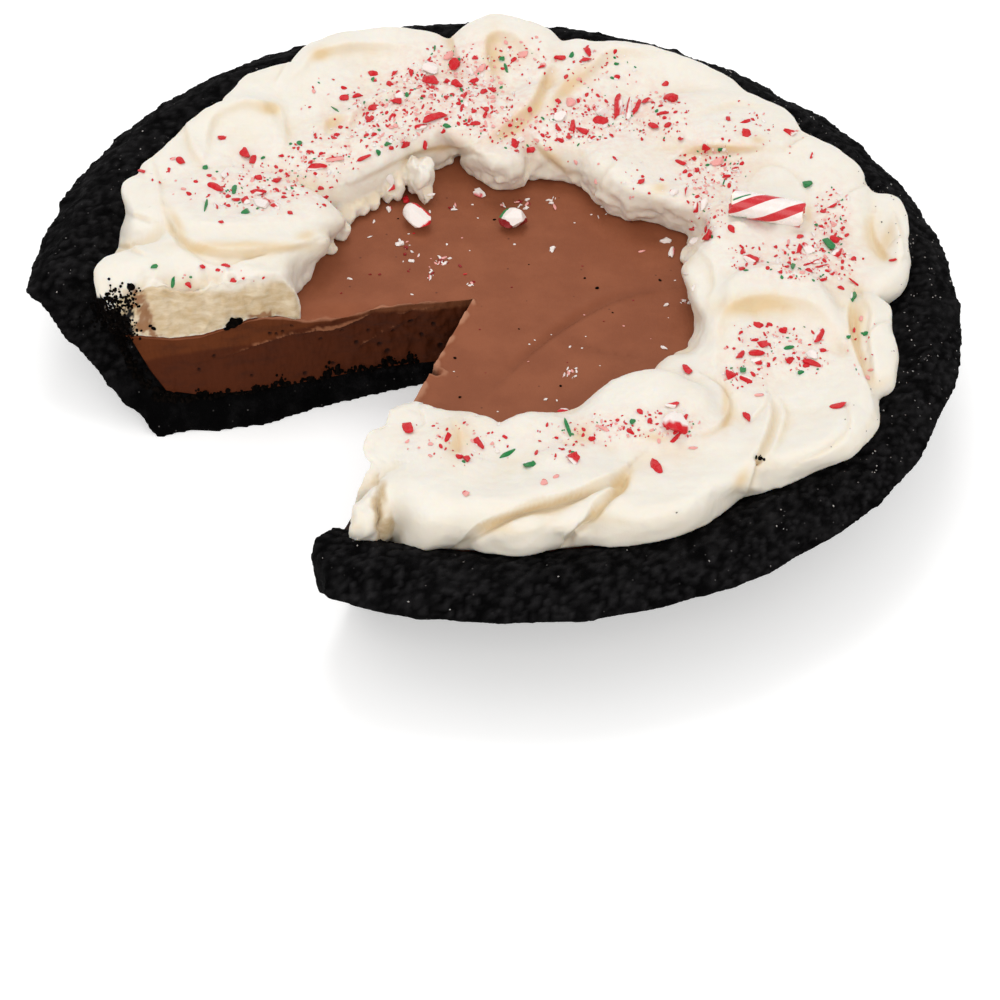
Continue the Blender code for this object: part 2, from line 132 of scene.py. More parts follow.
class Finish:
    # a material with one Principled shader, and the places that its patterns are worked out from
    def __init__(self, name):
        self.material = bpy.data.materials.new(name)
        self.material.use_nodes = True
        tree = self.material.node_tree
        self.shader = tree.nodes["Principled BSDF"]
        self.start = Wire(tree, None)
        self.places = self.start.node("ShaderNodeTexCoord", out=3)

    def noise(self, size, detail=4.0, roughness=0.55, stretch=(1, 1, 1)):
        spots = self.places * tuple(1.0 / (size * mm * part) for part in stretch)
        sockets = {"Vector": spots, "Scale": 1.0, "Detail": detail, "Roughness": roughness}
        return self.start.node("ShaderNodeTexNoise", None, sockets)

    def cells(self, size, shift=0.0):
        spots = self.places * (1.0 / (size * mm)) + shift
        return self.start.node("ShaderNodeTexVoronoi", None, {"Vector": spots, "Scale": 1.0})

    def attribute(self, name):
        return self.start.node("ShaderNodeAttribute", {"attribute_name": name}, out=2)

    def set(self, **values):
        for key, value in values.items():
            socket = self.shader.inputs[shaderSockets[key]]
            if isinstance(value, Wire):
                self.material.node_tree.links.new(value.socket, socket)
            elif key in ("colour", "emission"):
                socket.default_value = (*value, 1.0)
            else:
                socket.default_value = value
        return self

    def bump(self, height, depth, strength=1.0):
        sockets = {"Height": height, "Distance": depth * mm, "Strength": strength}
        made = self.start.node("ShaderNodeBump", None, sockets)
        self.material.node_tree.links.new(made.socket, self.shader.inputs["Normal"])
        return self


# Shapes
def blend(low, high, value):
    share = np.clip((value - low) / (high - low), 0.0, 1.0)
    return share * share * (3.0 - 2.0 * share)


def direction(angle):
    return np.array([math.cos(math.radians(angle)), math.sin(math.radians(angle))])


def onPie(radius, angle):
    # a place seen from above: spokes meet at the slice's point and the rim is round about the origin
    turn = np.radians(angle)
    share = 1.0 - np.asarray(radius, float) / pie["rim"]
    return pie["point"][0] * share + np.cos(turn) * radius, pie["point"][1] * share + np.sin(turn) * radius


def fromLeftCut(places):
    # how far out along the left cut a place lies, and how far behind the cut
    away = places[:, :2] - np.array(pie["point"])
    return away @ direction(pie["leftCut"]), away @ direction(pie["leftCut"] - 90.0)


def pressedDown(places):
    # how far the knife has pressed down the border of filling and cream along the left cut
    along, behind = fromLeftCut(places)
    depth = np.interp(along, pie["pressedAt"], pie["pressedBy"])
    narrow, wider = pie["pressedReach"]
    reach = narrow + wider * blend(*pie["pressedWidens"], along)
    return depth * np.exp(-(np.clip(behind, 0.0, None) / reach) ** 2)


# the factors of a whole-number hash, and the bits that it keeps
hashing = {
    "axes": (374761393, 668265263, 1440662683), "seed": 1274126177, "first": 1103515245, "second": 974711,
    "bits": 0xFFFFFFFF,
}


def scrambled(cells, seed):
    # a steady random number from 0 to 1 for each whole-numbered cell
    number = seed * hashing["seed"]
    for axis, factor in enumerate(hashing["axes"]):
        number = number + cells[..., axis].astype(np.int64) * factor
    number = number & hashing["bits"]
    number = ((number ^ (number >> 13)) * hashing["first"]) & hashing["bits"]
    number = ((number ^ (number >> 16)) * hashing["second"]) & hashing["bits"]
    return (number ^ (number >> 15)) / (hashing["bits"] + 1.0)


def grain(places, size, seed=0):
    # smooth random relief, from about -1 to 1
    scaled = places / size
    cell = np.floor(scaled)
    share = scaled - cell
    fade = share ** 3 * (share * (share * 6.0 - 15.0) + 10.0)
    total = 0.0
    for corner in np.ndindex(2, 2, 2):
        spot = cell + corner
        slope = np.stack([scrambled(spot, 3 * seed + axis) for axis in range(3)], -1) * 2.0 - 1.0
        weight = np.prod(np.where(np.array(corner) == 1, fade, 1.0 - fade), -1)
        total = total + weight * np.sum(slope * (share - corner), -1)
    return 1.7 * total


def pebbles(places, size, seed=0):
    # how far the nearest of many scattered points is, as a share of the size
    scaled = places / size
    cell = np.floor(scaled)
    nearest = np.full(len(places), 9.0)
    for step in np.ndindex(3, 3, 3):
        spot = cell + (np.array(step) - 1)
        point = spot + np.stack([scrambled(spot, 90 + 3 * seed + axis) for axis in range(3)], -1)
        nearest = np.minimum(nearest, np.linalg.norm(scaled - point, axis=-1))
    return nearest


def newPiece(name, places, faces, finish=None):
    mesh = bpy.data.meshes.new(name)
    mesh.from_pydata((np.asarray(places) * mm).tolist(), [], faces)
    made = bpy.data.objects.new(name, mesh)
    bpy.context.scene.collection.objects.link(made)
    if finish:
        mesh.materials.append(finish.material)
    return made


def facedOut(piece):
    bm = bmesh.new()
    bm.from_mesh(piece.data)
    bmesh.ops.recalc_face_normals(bm, faces=bm.faces)
    bm.to_mesh(piece.data)
    bm.free()
    return piece


def placesOf(piece):
    places = np.empty(len(piece.data.vertices) * 3)
    piece.data.vertices.foreach_get("co", places)
    return places.reshape(-1, 3) / mm


def normalsOf(piece):
    normals = np.empty(len(piece.data.vertices) * 3)
    piece.data.vertices.foreach_get("normal", normals)
    return normals.reshape(-1, 3)


def movePlaces(piece, places):
    piece.data.vertices.foreach_set("co", (places * mm).ravel())
    piece.data.update()


def settled(piece):
    # turns what the modifiers make into the piece's own mesh
    graph = bpy.context.evaluated_depsgraph_get()
    graph.update()
    mesh = bpy.data.meshes.new_from_object(piece.evaluated_get(graph))
    piece.modifiers.clear()
    piece.data = mesh
    return piece


def remeshed(piece, size, smoothing):
    step = piece.modifiers.new("even", "REMESH")
    step.mode = "VOXEL"
    step.voxel_size = size * mm
    soft = piece.modifiers.new("soft", "SMOOTH")
    soft.factor = 0.5
    soft.iterations = smoothing
    return settled(piece)


def trimmed(piece, cutter):
    step = piece.modifiers.new("trim", "BOOLEAN")
    step.operation = "DIFFERENCE"
    step.object = cutter
    settled(piece)
    bpy.data.objects.remove(cutter, do_unlink=True)
    return piece


def shadeSmooth(piece, sharp=None):
    piece.data.shade_smooth()
    if sharp:
        piece.data.set_sharp_from_angle(angle=math.radians(sharp))
    return piece


def loftFaces(counts, start=0):
    # faces over rings of places, one after another; a ring of one place closes an end
    faces = []
    rows = []
    for count in counts:
        rows.append(range(start, start + count))
        start += count
    for before, after in zip(rows, rows[1:]):
        count = max(len(before), len(after))
        for step in range(count):
            other = (step + 1) % count
            loop = [before[step % len(before)], after[step % len(after)]]
            if len(after) > 1:
                loop.append(after[other])
            if len(before) > 1:
                loop.append(before[other])
            faces.append(loop)
    return faces


def setAttribute(piece, name, values):
    made = piece.data.attributes.new(name, "FLOAT", "POINT")
    made.data.foreach_set("value", np.asarray(values, np.float32))


def setTints(piece, tints):
    colours = np.hstack([tints, np.ones((len(tints), 1))])
    made = piece.data.attributes.new("tint", "FLOAT_COLOR", "POINT")
    made.data.foreach_set("color", colours.ravel())


def wear(piece, finish):
    piece.data.materials.clear()
    piece.data.materials.append(finish.material)


def smoothLine(points, spacing=0.8):
    # a curve through the points, as places about a spacing apart
    points = np.array(points, float)
    points = np.vstack([2 * points[0] - points[1], points, 2 * points[-1] - points[-2]])
    run = []
    for a, b, c, d in zip(points, points[1:], points[2:], points[3:]):
        steps = max(2, int(np.linalg.norm(c - b) / spacing))
        t = np.linspace(0.0, 1.0, steps, endpoint=False)[:, None]
        run.append(0.5 * (2 * b + (c - a) * t + (2 * a - 5 * b + 4 * c - d) * t ** 2
                          + (3 * b - a - 3 * c + d) * t ** 3))
    return np.vstack(run + [points[-2:-1]])


def lineRelief(places, lines):
    # ridges and furrows along smooth lines seen from above: points, height, and width to the left and right
    relief = np.zeros(len(places))
    for points, height, left, right in lines:
        line = smoothLine(points)
        reach = 2.4 * max(left, right)
        low, high = line.min(0) - reach, line.max(0) + reach
        near = np.flatnonzero(np.all((places[:, :2] > low) & (places[:, :2] < high), axis=1))
        if not len(near):
            continue
        away = places[near, None, :2] - line[None]
        distance = np.einsum("ijk,ijk->ij", away, away)
        nearest = distance.argmin(1)
        distance = np.sqrt(distance[np.arange(len(near)), nearest])
        run = np.gradient(line, axis=0)[nearest]
        offset = away[np.arange(len(near)), nearest]
        leftward = run[:, 0] * offset[:, 1] - run[:, 1] * offset[:, 0] > 0
        width = np.where(leftward, left, right)
        fade = np.sin(np.pi * (0.06 + 0.88 * nearest / (len(line) - 1))) ** 0.6
        # ridges are round and furrows are sharp
        profile = np.exp(-(distance / width) ** 2) if height > 0 else np.exp(-distance / width)
        relief[near] += height * fade * profile
    return relief


def nearestOn(line, spots, reach):
    # the spots within reach of a line, how far each is from it, on which side (1 is left) and how far along
    near = np.flatnonzero(np.all((spots > line.min(0) - reach) & (spots < line.max(0) + reach), axis=1))
    away = spots[near, None, :] - line[None]
    distance = np.einsum("ijk,ijk->ij", away, away)
    nearest = distance.argmin(1) if len(near) else np.zeros(0, int)
    each = np.arange(len(near))
    run = np.gradient(line, axis=0)[nearest]
    offset = away[each, nearest]
    side = np.sign(run[:, 0] * offset[:, 1] - run[:, 1] * offset[:, 0])
    return near, np.sqrt(distance[each, nearest]), side, nearest / (len(line) - 1)


# how a fold is shaped round its line, and how the painted shade on its low side falls; sizes in pixels of the
# photograph's frame
fold = {
    "spacing": 1.5, "reach": 2.2, "fade": 0.6, "cliff": 0.34, "leastCliff": 2.2, "shade": 0.6,
    "paleLine": 0.7, "paleWidth": 2.0, "deepening": 0.4,
}


def foldRelief(spots, folds):
    # folds drawn in the photograph's frame: the left side of each line stands over the right side. Gives the
    # relief, and the painted shade that each spot gets on the low side of a fold
    relief = np.zeros(len(spots))
    depth = np.zeros(len(spots))
    for points, rise, drop, left, right in folds:
        line = smoothLine(np.array(points, float) * (1, -1), fold["spacing"])
        near, distance, side, along = nearestOn(line, spots * (1, -1), fold["reach"] * max(left, right))
        fade = np.clip(np.sin(np.pi * (0.04 + 0.92 * along)), 0.0, 1.0) ** fold["fade"]
        onLeft = rise * np.exp(-(distance / left) ** 2)
        dip = drop * np.exp(-(distance / right) ** 2)
        cliff = max(fold["leastCliff"], fold["cliff"] * right)
        onRight = (rise + drop) * np.exp(-(distance / cliff) ** 2) - dip
        relief[near] += fade * np.where(side > 0, onLeft, onRight)
        # painted shade on the low side of the fold, paler right at its line
        shade = np.exp(-(distance / (fold["shade"] * right)) ** 2)
        shade *= 1.0 - fold["paleLine"] * np.exp(-(distance / fold["paleWidth"]) ** 2)
        shade = np.where(side > 0, 0.0, shade) * min(1.0, fold["deepening"] * (rise + drop))
        depth[near] = np.maximum(depth[near], fade * shade)
    return relief, depth


def ovalReach(spots, x, y, length, width, turn):
    # how far out of an oval's middle each spot lies, squared: 1 on its edge
    c, s = direction(turn)
    along = ((spots[:, 0] - x) * c + (spots[:, 1] - y) * s) / length
    across = ((spots[:, 1] - y) * c - (spots[:, 0] - x) * s) / width
    return along ** 2 + across ** 2


def dishRelief(places, dishes):
    # round hollows and mounds seen from above: middle, two half widths, turn and height
    relief = np.zeros(len(places))
    for *oval, height in dishes:
        relief += height * np.clip(1.0 - ovalReach(places, *oval), 0.0, None) ** 2
    return relief


# Camera, light and floor
view = {
    "place": (0.0, -0.6512, 0.5663), "aim": (0.0030, -0.0463, 0.0), "roll": 2.627, "lens": 117.61,
    "sensor": 36.0,
    # the photograph's frame, and the grid of it that finds what is hidden
    "frame": 1000.0, "cell": 4.0, "cells": 260, "hidden": (9.0, 5.0), "turnedAway": (-0.1, 0.15),
}
# each lamp: place and size in metres, power and colour
lamps = {
    "windowLamp": ((-0.1, 0.52, 1.25), 0.6, 4.2, (1.0, 1.0, 1.0)),
    "sideLamp": ((-1.0, -0.1, 0.9), 0.9, 0.9, (1.0, 1.0, 1.0)),
    "frontLamp": ((0.1, -1.4, 0.95), 1.4, 10.0, (1.0, 0.97, 0.93)),
}
studio = {
    "lampsAimAt": (0.0, 0.0, 0.02), "sky": 0.76, "white": (1.0, 1.0, 1.0), "table": 0.36, "floorHalf": 1500,
    "floorUnder": -0.02, "paper": (0.80, 0.80, 0.80), "paperPale": (0.82, 0.82, 0.82),
}


class Picture:
    # the photograph's frame: where places appear in it, and what lies behind a spot in it
    def __init__(self, camera):
        self.eye = np.array(camera.matrix_world.translation) / mm
        self.axes = np.array(camera.matrix_world.to_3x3())
        self.focus = view["frame"] * view["lens"] / view["sensor"]
        self.middle = 0.5 * view["frame"]

    def spots(self, places):
        local = (places - self.eye) @ self.axes
        depth = -local[:, 2]
        scale = self.focus / depth
        return np.stack([self.middle + local[:, 0] * scale, self.middle - local[:, 1] * scale], -1), depth

    def ahead(self, x, y):
        along = self.axes @ np.array([x - self.middle, self.middle - y, -self.focus])
        return along / np.linalg.norm(along)

    def facing(self, places, normals):
        toEye = self.eye - places
        return np.sum(normals * toEye, -1) / np.linalg.norm(toEye, axis=1)

    def shown(self, places, normals):
        # 1 where a place can be seen from the camera, 0 where it is hidden or turned away
        spots, depth = self.spots(places)
        column, row = np.clip((spots / view["cell"]).astype(int), 0, view["cells"] - 1).T
        nearest = np.full((view["cells"], view["cells"]), np.inf)
        np.minimum.at(nearest, (column, row), depth)
        clear = blend(*view["hidden"], depth - nearest[column, row])
        return clear * blend(*view["turnedAway"], self.facing(places, normals))


def setCamera():
    camera = bpy.data.cameras.new("camera")
    camera.lens = view["lens"]
    camera.sensor_width = view["sensor"]
    camera.clip_end = 20.0
    holder = bpy.data.objects.new("camera", camera)
    bpy.context.scene.collection.objects.link(holder)
    place = Vector(view["place"])
    look = (Vector(view["aim"]) - place).to_track_quat("-Z", "Y").to_matrix().to_4x4()
    roll = Matrix.Rotation(math.radians(view["roll"]), 4, "Z")
    holder.matrix_world = Matrix.Translation(place) @ look @ roll
    bpy.context.scene.camera = holder
    return holder


def softLamp(name, place, size, power, colour):
    lamp = bpy.data.lights.new(name, "AREA")
    lamp.size = size
    lamp.energy = power
    lamp.color = colour
    holder = bpy.data.objects.new(name, lamp)
    bpy.context.scene.collection.objects.link(holder)
    holder.location = place
    holder.rotation_euler = (Vector(studio["lampsAimAt"]) - Vector(place)).to_track_quat("-Z", "Y").to_euler()


def setStudio():
    for name, settings in lamps.items():
        softLamp(name, *settings)
    world = bpy.data.worlds.new("studio")
    world.use_nodes = True
    world.node_tree.nodes["Background"].inputs["Color"].default_value = (*studio["white"], 1.0)
    world.node_tree.nodes["Background"].inputs["Strength"].default_value = studio["sky"]
    bpy.context.scene.world = world
    bpy.context.scene.view_settings.view_transform = "Standard"
    paper = Finish("palePaper")
    paper.set(roughness=0.9, specular=0.1, emission=studio["white"], emissionStrength=studio["table"])
    paper.set(colour=paper.noise(40.0).above(0.2, 0.8).mix(studio["paper"], studio["paperPale"]))
    half, under = studio["floorHalf"], studio["floorUnder"]
    corners = [(-half, -half, under), (half, -half, under), (half, half, under), (-half, half, under)]
    floor = newPiece("floor", corners, [(0, 1, 2, 3)], paper)


# Crust
crust = {
    "cell": 1.0, "softening": 3, "lumpSize": 6.0, "lumpHeight": 0.4, "crumbSize": 2.0, "crumbHeight": 0.45,
    "crumbLevel": 0.62, "gritSize": 1.2, "gritHeight": 0.25, "clodSize": 4.5, "clodLevel": 0.25,
    "clodGain": 2.2, "brokenGain": 0.3, "wallShare": 0.4, "footReach": 99.0, "bedReach": 92.0,
    "black": (0.0012, 0.0011, 0.0012), "dusty": (0.022, 0.021, 0.022), "spark": (0.16, 0.15, 0.145),
}


def crumbFinish():
    made = Finish("darkCrumb")
    dust = made.noise(8.0, 6.0, 0.65).above(0.42, 0.8)
    raised = made.attribute("raised")
    base = (dust * 0.35 + raised * 0.7).mix(crust["black"], crust["dusty"])
    spark = 1.0 - made.cells(2.2, shift=11.0).above(0.07, 0.12)
    colour = (spark * 0.5 * made.noise(6.0).above(0.45, 0.6)).mix(base, crust["spark"])
    made.set(colour=colour, roughness=0.92 - 0.2 * raised, specular=0.03)
    made.bump(made.noise(0.8, 4.0, 0.75) * 0.8 + made.cells(0.7) * 0.6, 0.4)
    return made


def makeCrust(finish):
    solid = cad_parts["crust"]
    body = bpy.data.objects.new("crumbCrust", solid.data.copy())
    bpy.context.scene.collection.objects.link(body)
    body.data.transform(solid.matrix_world)
    remeshed(body, crust["cell"], crust["softening"])
    places, normals = placesOf(body), normalsOf(body)
    reach = np.hypot(places[:, 0], places[:, 1])
    raisedCrumbs = crust["crumbLevel"] - pebbles(places, crust["crumbSize"], 2)
    grit = grain(places, crust["gritSize"], 3)
    clods = np.clip(grain(places, crust["clodSize"], 4) - crust["clodLevel"], 0.0, None)
    rough = crust["lumpHeight"] * grain(places, crust["lumpSize"], 1)
    rough += crust["crumbHeight"] * raisedCrumbs + crust["gritHeight"] * grit
    rough += crust["crumbHeight"] * clods * crust["clodGain"]
    # the broken face at the left cut, and its foot, which stands out into the gap
    along, behind = fromLeftCut(places)
    pastPoint = blend(0.2, 1.5, along)
    broken = blend(0.5, -0.5, behind) * pastPoint
    foot = blend(2.0, -0.5, behind) * pastPoint * (reach < crust["footReach"])
    rough *= 1.0 + crust["brokenGain"] * broken
    rough *= crust["wallShare"] + (1.0 - crust["wallShare"]) * blend(0.1, 0.7, normals[:, 2])
    # smooth under the filling, and where it stands on the table
    covered = (reach < crust["bedReach"]) & (normals[:, 2] > 0.8)
    rough *= np.where(covered, 0.0, blend(0.2, 1.2, places[:, 2]))
    places = places + normals * rough[:, None]
    places[:, 2] = np.maximum(places[:, 2], 0.0)
    movePlaces(body, places)
    raised = np.clip(1.6 * raisedCrumbs + 0.5 * grit, 0.0, 1.0) * blend(0.0, 0.9, normals[:, 2])
    setAttribute(body, "raised", raised * (1.0 - foot))
    wear(body, finish)
    shadeSmooth(body)
    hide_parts("crust")
    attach(body, "root")
    print("crust", len(body.data.polygons), "faces")
    return body


# Filling
filling = {
    "turns": 240, "rings": 260, "heights": 62, "crowding": 0.07,
    # its wall down to the crust's floor, out and up, and how far it stands clear of the crust
    "wallRadius": (0.0, 42.0, 76.0, 85.0, 89.0), "wallHeight": (0.0, 0.0, 0.5, 2.5, 8.5), "wallGap": 0.42,
    # how the left face leans and is hollowed, and where both faces are torn
    "lean": 5.5, "leansFrom": (15.0, 68.0), "leanReach": 94.4, "hollow": 1.3, "hollowReach": 0.85,
    "tornUntil": (46.0, 20.0), "cutBack": 0.25, "pitDepth": 0.7,
    # the lip along the cut, and the chip out of it: where it lies, and its depth, rim and two half sizes
    "lipWidth": (1.1, 0.7), "lipHeight": 0.7, "lipFades": (70.0, 45.0),
    "chip": (30.0, 0.4), "chipDepth": 1.3, "chipRim": 0.35, "chipSizes": (1.3, 2.2),
    # where the crust's crumbs darken the outer end at the right cut
    "sootFrom": 83.0, "sootTurn": 0.03, "scrapeFades": (66.0, 54.0), "scrapeShare": 0.62,
    "paleFades": (36.0, 24.0),
    "top": (0.275, 0.088, 0.040), "topDark": (0.235, 0.071, 0.031), "cut": (0.066, 0.0125, 0.0018),
    "band": (0.104, 0.024, 0.0045), "scrape": (0.34, 0.135, 0.065), "lip": (0.42, 0.19, 0.11),
    # the pit colour is painted shade in the pits and the creases' furrows, and also darkens the chip and the
    # crumbs at the outer end
    "pit": (0.018, 0.005, 0.003), "speck": (0.13, 0.04, 0.02),
    # lines in the top, seen from above: points, height, width on either side
    "creases": [
        ([(47, 8), (32, 2), (20, -8), (10, -20), (2, -33)], -1.1, 0.6, 3.4),
        ([(43, 10), (29, 4), (18, -6), (8, -18), (1, -29)], 0.45, 1.8, 3.0),
        ([(20, -13), (25, -18), (33, -20), (37, -20)], -0.8, 0.6, 2.2),
        ([(28, 27), (14, 24), (2, 16), (-8, 12)], -0.12, 1.5, 4.0),
    ],
    # the paler band at the top of the left cut face: how far out, and how high it begins there
    "paleBand": 0.2, "bandAt": (0, 12, 25, 30, 40, 46, 54, 76, 92),
    "bandFoot": (25.6, 25.4, 26.4, 25.8, 24.4, 23.2, 20.8, 19.5, 19.0),
    # lines in the left cut face: places out along it and up it, height, width above and below
    "scrapes": [
        ([(80, 19.0), (75.9, 19.4), (63.9, 19.6), (53.5, 21.0), (46, 23.4), (40.6, 24.4), (34.6, 25.0),
          (29.4, 26.0),
          (25, 27.4)], 0.45, 0.25, 0.9),
        ([(78.0, 15.4), (78.4, 12), (78.8, 8), (79.6, 5.6)], 0.5, 0.3, 0.5),
        ([(78.4, 14.9), (74, 15.6), (69, 16.6)], 0.25, 0.3, 0.6),
        ([(44, 26.0), (38, 24.6), (33.3, 25.4), (28, 26.4)], 0.5, 0.3, 1.2),
        ([(24, 26.0), (18.5, 25.4), (12, 26.2), (6, 27.0)], 0.3, 0.3, 1.0),
        ([(33, 14), (28, 17), (22, 20), (18, 23)], 0.3, 0.3, 0.8),
    ],
    # pits in the left cut face: along, up, half width
    "pits": [
        (71.4, 17.0, 0.5), (67.4, 20.2, 0.45), (52.7, 23.3, 0.5), (51.0, 23.0, 0.4), (49.4, 23.6, 0.35),
        (39.5, 20.6, 0.5), (34.0, 22.8, 0.5), (30.2, 17.5, 0.6), (27.0, 20.4, 0.5), (24.0, 15.0, 0.7),
        (20.5, 19.0, 0.5), (16.0, 22.0, 0.8), (13.0, 17.0, 0.6), (36.5, 12.0, 0.5), (44.0, 10.5, 0.6),
        (58.0, 12.2, 0.35), (47.0, 25.8, 0.35), (22.0, 12.5, 0.8), (10.0, 20.5, 0.6), (8.0, 13.0, 0.8),
        (64.5, 8.0, 0.3),
    ],
}


def fillingFinish():
    made = Finish("milkChocolate")
    cloud = made.noise(14.0, 5.0, 0.6)
    speck = made.cells(5.2, shift=4.0).above(0.03, 0.08)
    top = cloud.above(0.35, 0.68).mix(filling["topDark"], filling["top"])
    top = speck.mix(filling["speck"], top)
    drag = made.noise(7.0, 5.0, 0.6, (1.0, 1.0, 0.35))
    cut = made.attribute("band").mix(filling["cut"], filling["band"])
    cut = (drag.above(0.4, 0.8) * 0.45).mix(cut, filling["pit"])
    colour = made.attribute("cutFace").mix(top, cut)
    colour = made.attribute("scrape").mix(colour, filling["scrape"])
    # pale lips with painted highlight on the creases' ridges, then painted shade in the pits and furrows, the
    # darker chip and dark crumbs
    colour = made.attribute("lip").mix(colour, filling["lip"])
    colour = made.attribute("pit").mix(colour, filling["pit"])
    made.set(colour=colour, roughness=0.5 + 0.16 * cloud + 0.2 * made.attribute("cutFace"), specular=0.14)
    made.bump(made.noise(1.1, 3.0, 0.6) * 0.7 + made.noise(4.5, 2.0) * 0.8, 0.14)
    return made


def fillingPlace(turn, along, up):
    # turn from the right cut to the left one, along from the point outwards, up from the crust's floor
    clear = 1.0 - filling["wallGap"] / pie["fillingEdge"]
    wallRadius = np.array([*filling["wallRadius"], pie["fillingEdge"]]) * clear
    wallHeight = pie["floor"] + np.array([*filling["wallHeight"], pie["fillingTop"] - pie["floor"]])
    radius = wallRadius[-1] * along
    low = np.minimum(np.interp(radius, wallRadius, wallHeight) + pie["gap"], pie["fillingTop"])
    x, y = onPie(radius, pie["rightCut"] + (pie["leftCut"] - pie["rightCut"]) * turn)
    return np.stack([x, y, low + (pie["fillingTop"] - low) * up], -1)


def blockShell(steps):
    # the shell of a block of so many steps each way: the whole-numbered places on it, and its faces
    corners = {}
    faces = []
    for axis in range(3):
        across, along = (axis + 1) % 3, (axis + 2) % 3
        for end in (0, steps[axis]):
            for i in range(steps[across]):
                for j in range(steps[along]):
                    loop = []
                    for di, dj in ((0, 0), (1, 0), (1, 1), (0, 1)):
                        index = [0, 0, 0]
                        index[axis], index[across], index[along] = end, i + di, j + dj
                        loop.append(corners.setdefault(tuple(index), len(corners)))
                    faces.append(loop if end else loop[::-1])
    return np.array(list(corners)), faces


def cleaned(piece):
    # joins doubled places and turns the faces outwards
    bm = bmesh.new()
    bm.from_mesh(piece.data)
    bmesh.ops.remove_doubles(bm, verts=bm.verts, dist=0.01 * mm)
    bmesh.ops.dissolve_degenerate(bm, edges=bm.edges, dist=0.01 * mm)
    bmesh.ops.recalc_face_normals(bm, faces=bm.faces)
    if bm.calc_volume(signed=True) < 0.0:
        bmesh.ops.reverse_faces(bm, faces=bm.faces)
    bm.to_mesh(piece.data)
    bm.free()


